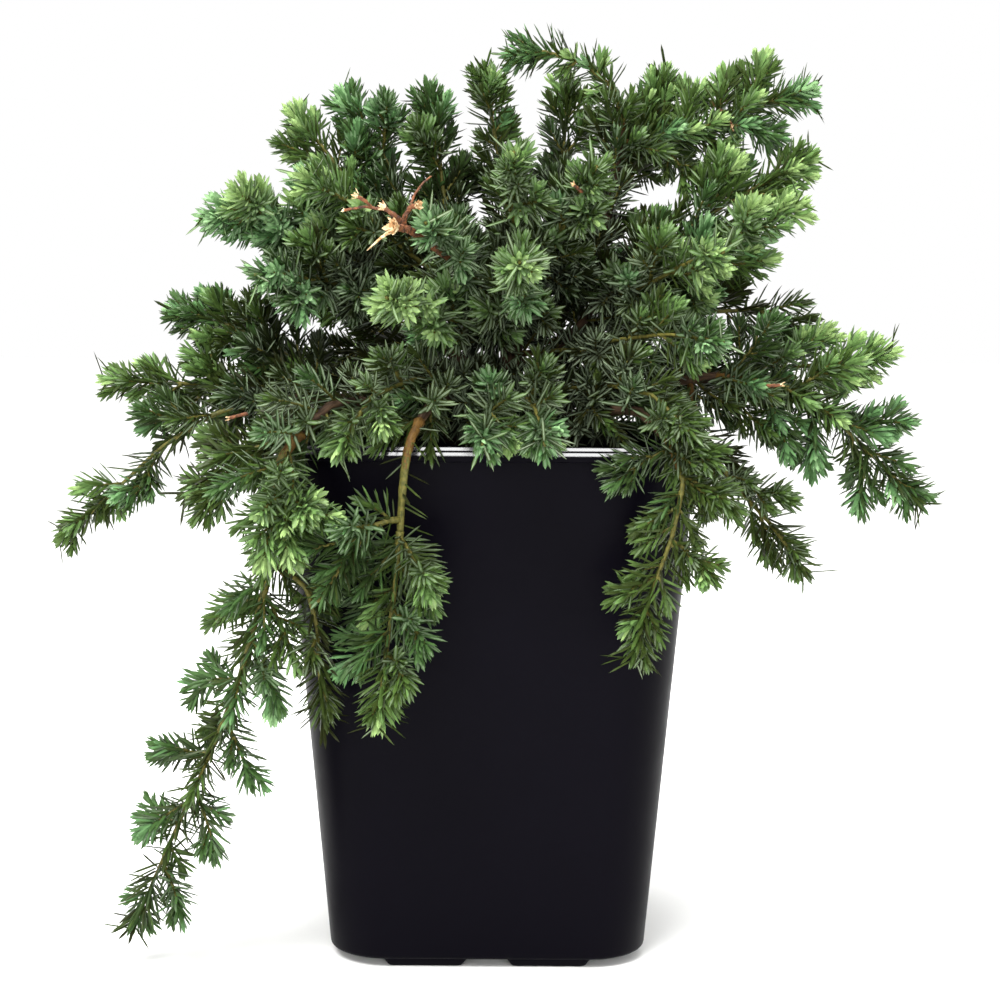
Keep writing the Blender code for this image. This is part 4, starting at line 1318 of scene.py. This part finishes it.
def bark_tube(name, limb, sunk, relief, green_from=None):
    """A limb's bark: a tube with ridges, flakes and knots in its mesh, with its foot sunk into its parent."""
    points = [p.copy() for p in limb.points]
    start = (points[1] - points[0]).normalized()
    points[0] = points[0] - start * sunk
    length = length_of(points)
    count = max(12, int(length / (0.9 * MM)))
    distances = np.linspace(0, length, count)
    centres, along = stations(points, distances)
    sides = 28 if limb.radii[0] > 3 * MM else 18
    base = np.interp(distances / length, np.linspace(0, 1, len(limb.radii)), limb.radii)
    if name == "trunk":
        radii_at = [(p.z, r) for p, r in zip(limb.points, limb.radii)]
        base = np.interp(centres[:, 2], [z for z, _ in radii_at], [r for _, r in radii_at])
    else:
        # The collar where a bough leaves the wood that carries it
        base = base * (1 + 0.35 * np.exp(-distances / (1.6 * MM)))
    seed = sum(map(ord, name)) * 0.37
    rough = np.empty((count, sides))
    for i, (distance, radius) in enumerate(zip(distances, base)):
        for k in range(sides):
            turn = 2 * math.pi * k / sides
            around = Vector((math.cos(turn), math.sin(turn), 0)) * radius / (1.1 * MM)
            ridge = noise.noise(around + Vector((0, 0, distance / (7 * MM) + seed)))
            flake = noise.noise(around * 2.1 + Vector((5, 0, distance / (3 * MM) + seed)))
            knot = noise.noise(around * 0.35 + Vector((9, 0, distance / (6 * MM) + seed)))
            rough[i, k] = radius * (1 + relief * (0.5 * ridge + 0.35 * max(0, flake) + 0.35 * knot))
    vertices, quads, ends = tube_rings(centres, along, rough, sides)
    if name == "trunk":
        vertices[:sides, 2] = TRUNK_FOOT.z - sunk
    wood = np.zeros(len(quads), int)
    if green_from is not None:
        ragged = np.random.default_rng(len(name)).normal(0, 2.5 * MM, len(quads))
        from_tip = length - np.repeat(distances[:-1], sides) + ragged
        wood[:] = np.where(from_tip < green_from * MM, 2, 1)
    parts = MeshParts()
    parts.add(vertices, quads, wood)
    parts.add(None, ends, int(wood[-1]))
    piece = parts.to_object(name + "_bark", wood_materials(), True)
    layer = piece.data.uv_layers.new(name="bark")
    corner = np.empty(len(piece.data.loops), np.int32)
    piece.data.loops.foreach_get("vertex_index", corner)
    ring, side = corner // sides, corner % sides
    uv = np.stack([side / sides * 2 * math.pi * base[ring], distances[ring]], axis=1)
    layer.data.foreach_set("uv", uv.astype(np.float32).ravel())
    keep_piece(piece, "young_wood" if green_from is not None else "bark", name)


def build_wood(shrub):
    """The trunk and the boughs, each with its bark."""
    limbs, _ = grow_plant(shrub.finer_twigs)
    bark_tube("trunk", limbs["trunk"], 0.25 * MM, TRUNK_RELIEF)
    for row in BOUGHS:
        relief = THIN_BOUGH_RELIEF if row.green else BOUGH_RELIEF
        bark_tube(row.name, limbs[row.name], 1.0 * MM if row.back else 0.0, relief, row.green or None)


def build_twigs(shrub):
    """The stems and twigs of every mass, joined in one piece, with the bark's age dealt out along them."""
    _, masses = grow_plant(shrub.finer_twigs)
    parts = MeshParts()
    rng = np.random.default_rng(7)
    for row in BOUGHS + FOLIAGE:
        stem, shoots = masses[row.name]
        if stem:
            # A stem that leaves a bough sideways starts deeper in it than one that grows on from its end.
            sunk, foot_radius = (0.9, 1.2) if row.back else (0.4, 1.35)
            points = [p.copy() for p in stem.points]
            points[0] = points[0] - (points[1] - points[0]).normalized() * sunk * MM
            length = length_of(points)
            distances = np.linspace(0, length, STEM_TUBE_RINGS)
            centres, along = stations(points, distances)
            radii = np.interp(distances / length, [0, 0.12, 1], [foot_radius, 0.9, 0.5]) * MM
            vertices, quads, ends = tube_rings(centres, along, radii, STEM_TUBE_SIDES)
            # Beyond its tan foot the bark is green, as it is all along on a green bough.
            ragged = np.repeat(distances[:-1], STEM_TUBE_SIDES) + rng.normal(0, 3 * MM, len(quads))
            green_bough = row.parent in GREEN_BOUGHS
            parts.add(vertices, quads, 2 if green_bough else np.where(ragged < TAN_SHARE * length, 1, 2))
            parts.add(None, ends, 2)
            parts.done()
        for shoot in shoots:
            distances = np.linspace(0, length_of(shoot.points) - TIP_ROOM + 0.5 * MM, SHOOT_TUBE_RINGS)
            centres, along = stations(shoot.points, distances)
            radii = np.linspace(*shoot.radii, SHOOT_TUBE_RINGS)
            vertices, quads, ends = tube_rings(centres, along, radii, SHOOT_TUBE_SIDES)
            parts.add(vertices, quads, 2)
            parts.add(None, ends, 2)
            parts.done()
    print("twigs:", parts.triangles(), "triangles")
    keep_piece(parts.to_object("twigs", wood_materials(), True), "young_wood")


def build_snapped_twigs():
    """The broken twigs: dry, red-brown bark that ends in pale splinters of torn wood."""
    # Dead juniper bark dries to a dull orange brown, and the torn wood under it is a pale, fibrous cream.
    materials = [
        mottled_material(
            name, linear(dark), linear(light), 1.8 * MM, {"Roughness": 0.8, "IOR": 1.5},
            relief=0.25 * MM, relief_size=0.7 * MM,
        )
        for name, dark, light in (
            ("dry_twig_bark", "#2a150d", "#7d4a26"), ("torn_juniper_wood", "#a8743c", "#eedcb4")
        )
    ]
    triangles, quads, _, _ = needle_faces()
    rng = np.random.default_rng(23)
    parts = MeshParts()
    for twig in SNAPPED_TWIGS:
        points = [Vector(p) * MM for p in twig.points]
        length = length_of(points)
        count = max(8, int(length / (0.6 * MM)))
        centres, along = stations(points, np.linspace(0, length, count))
        uneven = rng.uniform(0.36, 0.58, (count, SNAPPED_TUBE_SIDES))
        radii = np.linspace(twig.thick, twig.thin, count)[:, None] * uneven * MM
        vertices, sides, ends = tube_rings(centres, along, radii, SNAPPED_TUBE_SIDES)
        parts.add(vertices, sides, twig.torn)
        parts.add(None, ends, 1)
        parts.done()
        if not twig.splinters:
            continue
        n = twig.splinters
        turn = np.arange(n) * 2.4 + rng.uniform(-0.4, 0.4, n)
        lean = np.radians(rng.uniform(4, 44, n))[:, None]
        across, beside = (axis[-1] for axis in frames(along))
        radial = across * np.cos(turn)[:, None] + beside * np.sin(turn)[:, None]
        torn_along = along[-1] * np.cos(lean) + radial * np.sin(lean)
        upper = along[-1] * np.sin(lean) - radial * np.cos(lean)
        off_centre = rng.uniform(0.1, 0.5, n)[:, None]
        roots = centres[-1] - along[-1] * 0.5 * MM + radial * twig.thin * off_centre * MM
        size = twig.thin * MM
        lengths = size * rng.uniform(0.9, 1.9, n)
        widths = size * rng.uniform(0.35, 0.7, n)
        splinters = needle_points(roots, torn_along, upper, lengths, widths, np.zeros(n))
        first = (np.arange(n) * splinters.shape[1])[:, None, None]
        parts.add(splinters.reshape(-1, 3), (triangles[None] + first).reshape(-1, 3), 1)
        parts.add(None, (quads[None] + first).reshape(-1, 4), 1)
        parts.done()
    keep_piece(parts.to_object("snapped_twigs", materials, False), "young_wood")


def build_needles(shrub):
    """The needles of every mass, joined in one piece for each region of the crown."""
    limbs, masses = grow_plant(shrub.finer_twigs)
    triangles, quads, triangle_band, quad_band = needle_faces()
    low, high = (np.array(corner) for corner in cad_box)
    # Needles may stand out of the solids' box by this much on each side.
    room = 0.03 * (high - low)
    total = 0
    for region, _ in REGIONS:
        parts = MeshParts()
        rows = [row for row in BOUGHS + FOLIAGE if region_of(row.name) == region]
        for row in rows:
            stem, shoots = masses[row.name]
            rng = np.random.default_rng(sum(ord(c) * (i + 7) for i, c in enumerate(row.name)))
            groups = [needles_on(shoot, rng, shrub) for shoot in shoots]
            if stem:
                radii = (STEM_RADIUS, STEM_TIP_RADIUS)
                apart = STEM_NEEDLES_APART if row.ranks is SPIRAL else RANKED_NEEDLES_APART
                groups.append(sparse_needles_on(stem.points, radii, row.tone, apart, rng, shrub))
            elif row.green:
                limb = limbs[row.name]
                radii = (limb.radii[0], limb.radii[-1])
                groups.append(sparse_needles_on(limb.points, radii, 1.0, BOUGH_NEEDLES_APART, rng, shrub))
            if not groups:
                continue
            roots, along, upper, length, width, curve, age_and_shade = (np.concatenate(g) for g in zip(*groups))
            points = needle_points(roots, along, upper, length, width, curve)
            tips = points[:, -1]
            bends = points[:, 1 + NEEDLE_SIDES]
            keep = ~blocked(tips, NEEDLE_CLEARANCE) & ~blocked(bends, NEEDLE_CLEARANCE)
            keep &= (tips > low - room).all(axis=1) & (tips < high + room).all(axis=1) & (tips[:, 2] > 0)
            points, age_and_shade = points[keep], age_and_shade[keep]
            first = (np.arange(len(points)) * points.shape[1])[:, None, None]
            # Each step of age and painted shade has two materials: the needle's back, then its band.
            back = age_and_shade[:, None] * 2
            points = points.reshape(-1, 3)
            parts.add(points, (triangles + first).reshape(-1, 3), (back + triangle_band).ravel())
            parts.add(None, (quads + first).reshape(-1, 4), (back + quad_band).ravel())
            parts.done()
        total += parts.triangles()
        print("needles", region, parts.triangles(), "triangles")
        piece = parts.to_object("needles_" + region, needle_materials(), False)
        keep_piece(piece, "needles", *(row.name for row in rows if row in FOLIAGE))
    print("needles in all:", total, "triangles")


# The camera, fitted to the pot's rim and feet: how far it looks down, in degrees, and its roll, in radians
CAMERA_PLACE = Vector((3.5, -708, 226.5)) * MM
CAMERA_DROP = 5.9
CAMERA_ROLL = 0.006
FLOOR_REACH = 6.0


def build_stage(settings):
    """A plain pale floor, the camera and soft light from large panels."""
    scene = bpy.context.scene
    # Painted board: matt, so that it takes only a soft shadow
    paint, _ = new_material("pale_matt_paint", {"Roughness": 0.9, "Base Color": rgba(settings.floor_colour)})
    floor = bpy.data.meshes.new("floor")
    corners = [(x * FLOOR_REACH, y * FLOOR_REACH, 0) for x, y in ((-1, -1), (1, -1), (1, 1), (-1, 1))]
    floor.from_pydata(corners, [], [(0, 1, 2, 3)])
    floor.materials.append(paint)
    link_piece("floor", floor)

    camera = bpy.data.objects.new("camera", bpy.data.cameras.new("camera"))
    camera.data.sensor_width = 36
    camera.data.lens = 72
    camera.data.clip_start, camera.data.clip_end = 0.02, 30
    camera.location = CAMERA_PLACE
    level = Euler((math.radians(90 - CAMERA_DROP), 0, 0)).to_matrix()
    camera.rotation_euler = (level @ Matrix.Rotation(CAMERA_ROLL, 3, "Z")).to_euler()
    scene.collection.objects.link(camera)
    scene.camera = camera

    sky = bpy.data.worlds.new("studio")
    sky.use_nodes = True
    background = sky.node_tree.nodes["Background"]
    background.inputs["Color"].default_value = (1, 1, 1, 1)
    background.inputs["Strength"].default_value = 1.0
    scene.world = sky
    scene.view_settings.view_transform = "Standard"

    centre = Vector((0, 0, 0.18))
    for name, place, size, power in (
        ("key_panel", (-0.35, -0.75, 1.25), (0.7, 0.7), settings.key_power),
        ("top_panel", (0.1, 0.25, 1.3), (0.8, 0.8), settings.key_power * 0.4),
        ("strip", (0, -1.3, 0.41), (1.4, 0.15), settings.strip_power),
        ("sky", (-0.4, -0.5, 2.0), None, settings.sky_strength),
    ):
        lamp = bpy.data.lights.new(name, "AREA" if size else "SUN")
        lamp.energy = power
        if size:
            lamp.shape, lamp.size, lamp.size_y = "RECTANGLE", *size
        else:
            lamp.angle = math.radians(40)
        panel = bpy.data.objects.new(name, lamp)
        panel.location = place
        panel.rotation_euler = (centre - Vector(place)).to_track_quat("-Z", "Y").to_euler()
        scene.collection.objects.link(panel)


# Operators, one for each piece or group of like pieces


class JUNIPER_OT_stage(bpy.types.Operator):
    """Make the floor, the lights and the camera"""

    bl_idname = "juniper.stage"
    bl_label = "Stage"

    def execute(self, context):
        build_stage(context.scene.juniper_stage)
        return {"FINISHED"}


class JUNIPER_OT_pot(bpy.types.Operator):
    """Make the moulded nursery pot"""

    bl_idname = "juniper.pot"
    bl_label = "Pot"

    def execute(self, context):
        build_pot(context.scene.juniper_pot)
        return {"FINISHED"}


class JUNIPER_OT_potting_mix(bpy.types.Operator):
    """Fill the pot with potting mix and lay bark chips on it"""

    bl_idname = "juniper.potting_mix"
    bl_label = "Potting mix"

    def execute(self, context):
        build_potting_mix()
        return {"FINISHED"}


class JUNIPER_OT_wood(bpy.types.Operator):
    """Put the bark on the trunk and the boughs"""

    bl_idname = "juniper.wood"
    bl_label = "Trunk and boughs"

    def execute(self, context):
        build_wood(context.scene.juniper_shrub)
        return {"FINISHED"}


class JUNIPER_OT_twigs(bpy.types.Operator):
    """Grow the stems and twigs of the foliage"""

    bl_idname = "juniper.twigs"
    bl_label = "Twigs"

    def execute(self, context):
        build_twigs(context.scene.juniper_shrub)
        return {"FINISHED"}


class JUNIPER_OT_snapped_twigs(bpy.types.Operator):
    """Make the broken twigs that stand out of the foliage"""

    bl_idname = "juniper.snapped_twigs"
    bl_label = "Snapped twigs"

    def execute(self, context):
        build_snapped_twigs()
        return {"FINISHED"}


class JUNIPER_OT_needles(bpy.types.Operator):
    """Grow the needles on the twigs"""

    bl_idname = "juniper.needles"
    bl_label = "Needles"

    def execute(self, context):
        build_needles(context.scene.juniper_shrub)
        return {"FINISHED"}


class JUNIPER_PT_panel(bpy.types.Panel):
    """The juniper's sizes, colours and pieces"""

    bl_idname = "JUNIPER_PT_panel"
    bl_label = "Potted weeping juniper"
    bl_space_type = "VIEW_3D"
    bl_region_type = "UI"
    bl_category = "Juniper"

    def draw(self, context):
        for group in (context.scene.juniper_pot, context.scene.juniper_shrub, context.scene.juniper_stage):
            box = self.layout.box()
            for name in group.__annotations__:
                box.prop(group, name)
        for operator in OPERATORS:
            self.layout.operator(operator.bl_idname)


OPERATORS = (
    JUNIPER_OT_stage,
    JUNIPER_OT_pot,
    JUNIPER_OT_potting_mix,
    JUNIPER_OT_wood,
    JUNIPER_OT_twigs,
    JUNIPER_OT_snapped_twigs,
    JUNIPER_OT_needles,
)
CLASSES = (PotSettings, ShrubSettings, StageSettings, *OPERATORS, JUNIPER_PT_panel)


def register():
    for cls in CLASSES:
        bpy.utils.register_class(cls)
    bpy.types.Scene.juniper_pot = PointerProperty(type=PotSettings)
    bpy.types.Scene.juniper_shrub = PointerProperty(type=ShrubSettings)
    bpy.types.Scene.juniper_stage = PointerProperty(type=StageSettings)


def unregister():
    del bpy.types.Scene.juniper_pot
    del bpy.types.Scene.juniper_shrub
    del bpy.types.Scene.juniper_stage
    for cls in reversed(CLASSES):
        bpy.utils.unregister_class(cls)


def clear_startup():
    """Removes what Blender's own startup scene holds, and leaves the frame."""
    for name in ("Cube", "Light", "Camera"):
        if name in bpy.data.objects and "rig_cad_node" not in bpy.data.objects[name]:
            bpy.data.objects.remove(bpy.data.objects[name])


def main():
    clear_startup()
    register()
    bpy.ops.juniper.stage()
    bpy.ops.juniper.pot()
    bpy.ops.juniper.potting_mix()
    bpy.ops.juniper.wood()
    bpy.ops.juniper.twigs()
    bpy.ops.juniper.snapped_twigs()
    bpy.ops.juniper.needles()
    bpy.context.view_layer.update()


if __name__ == "__main__":
    main()
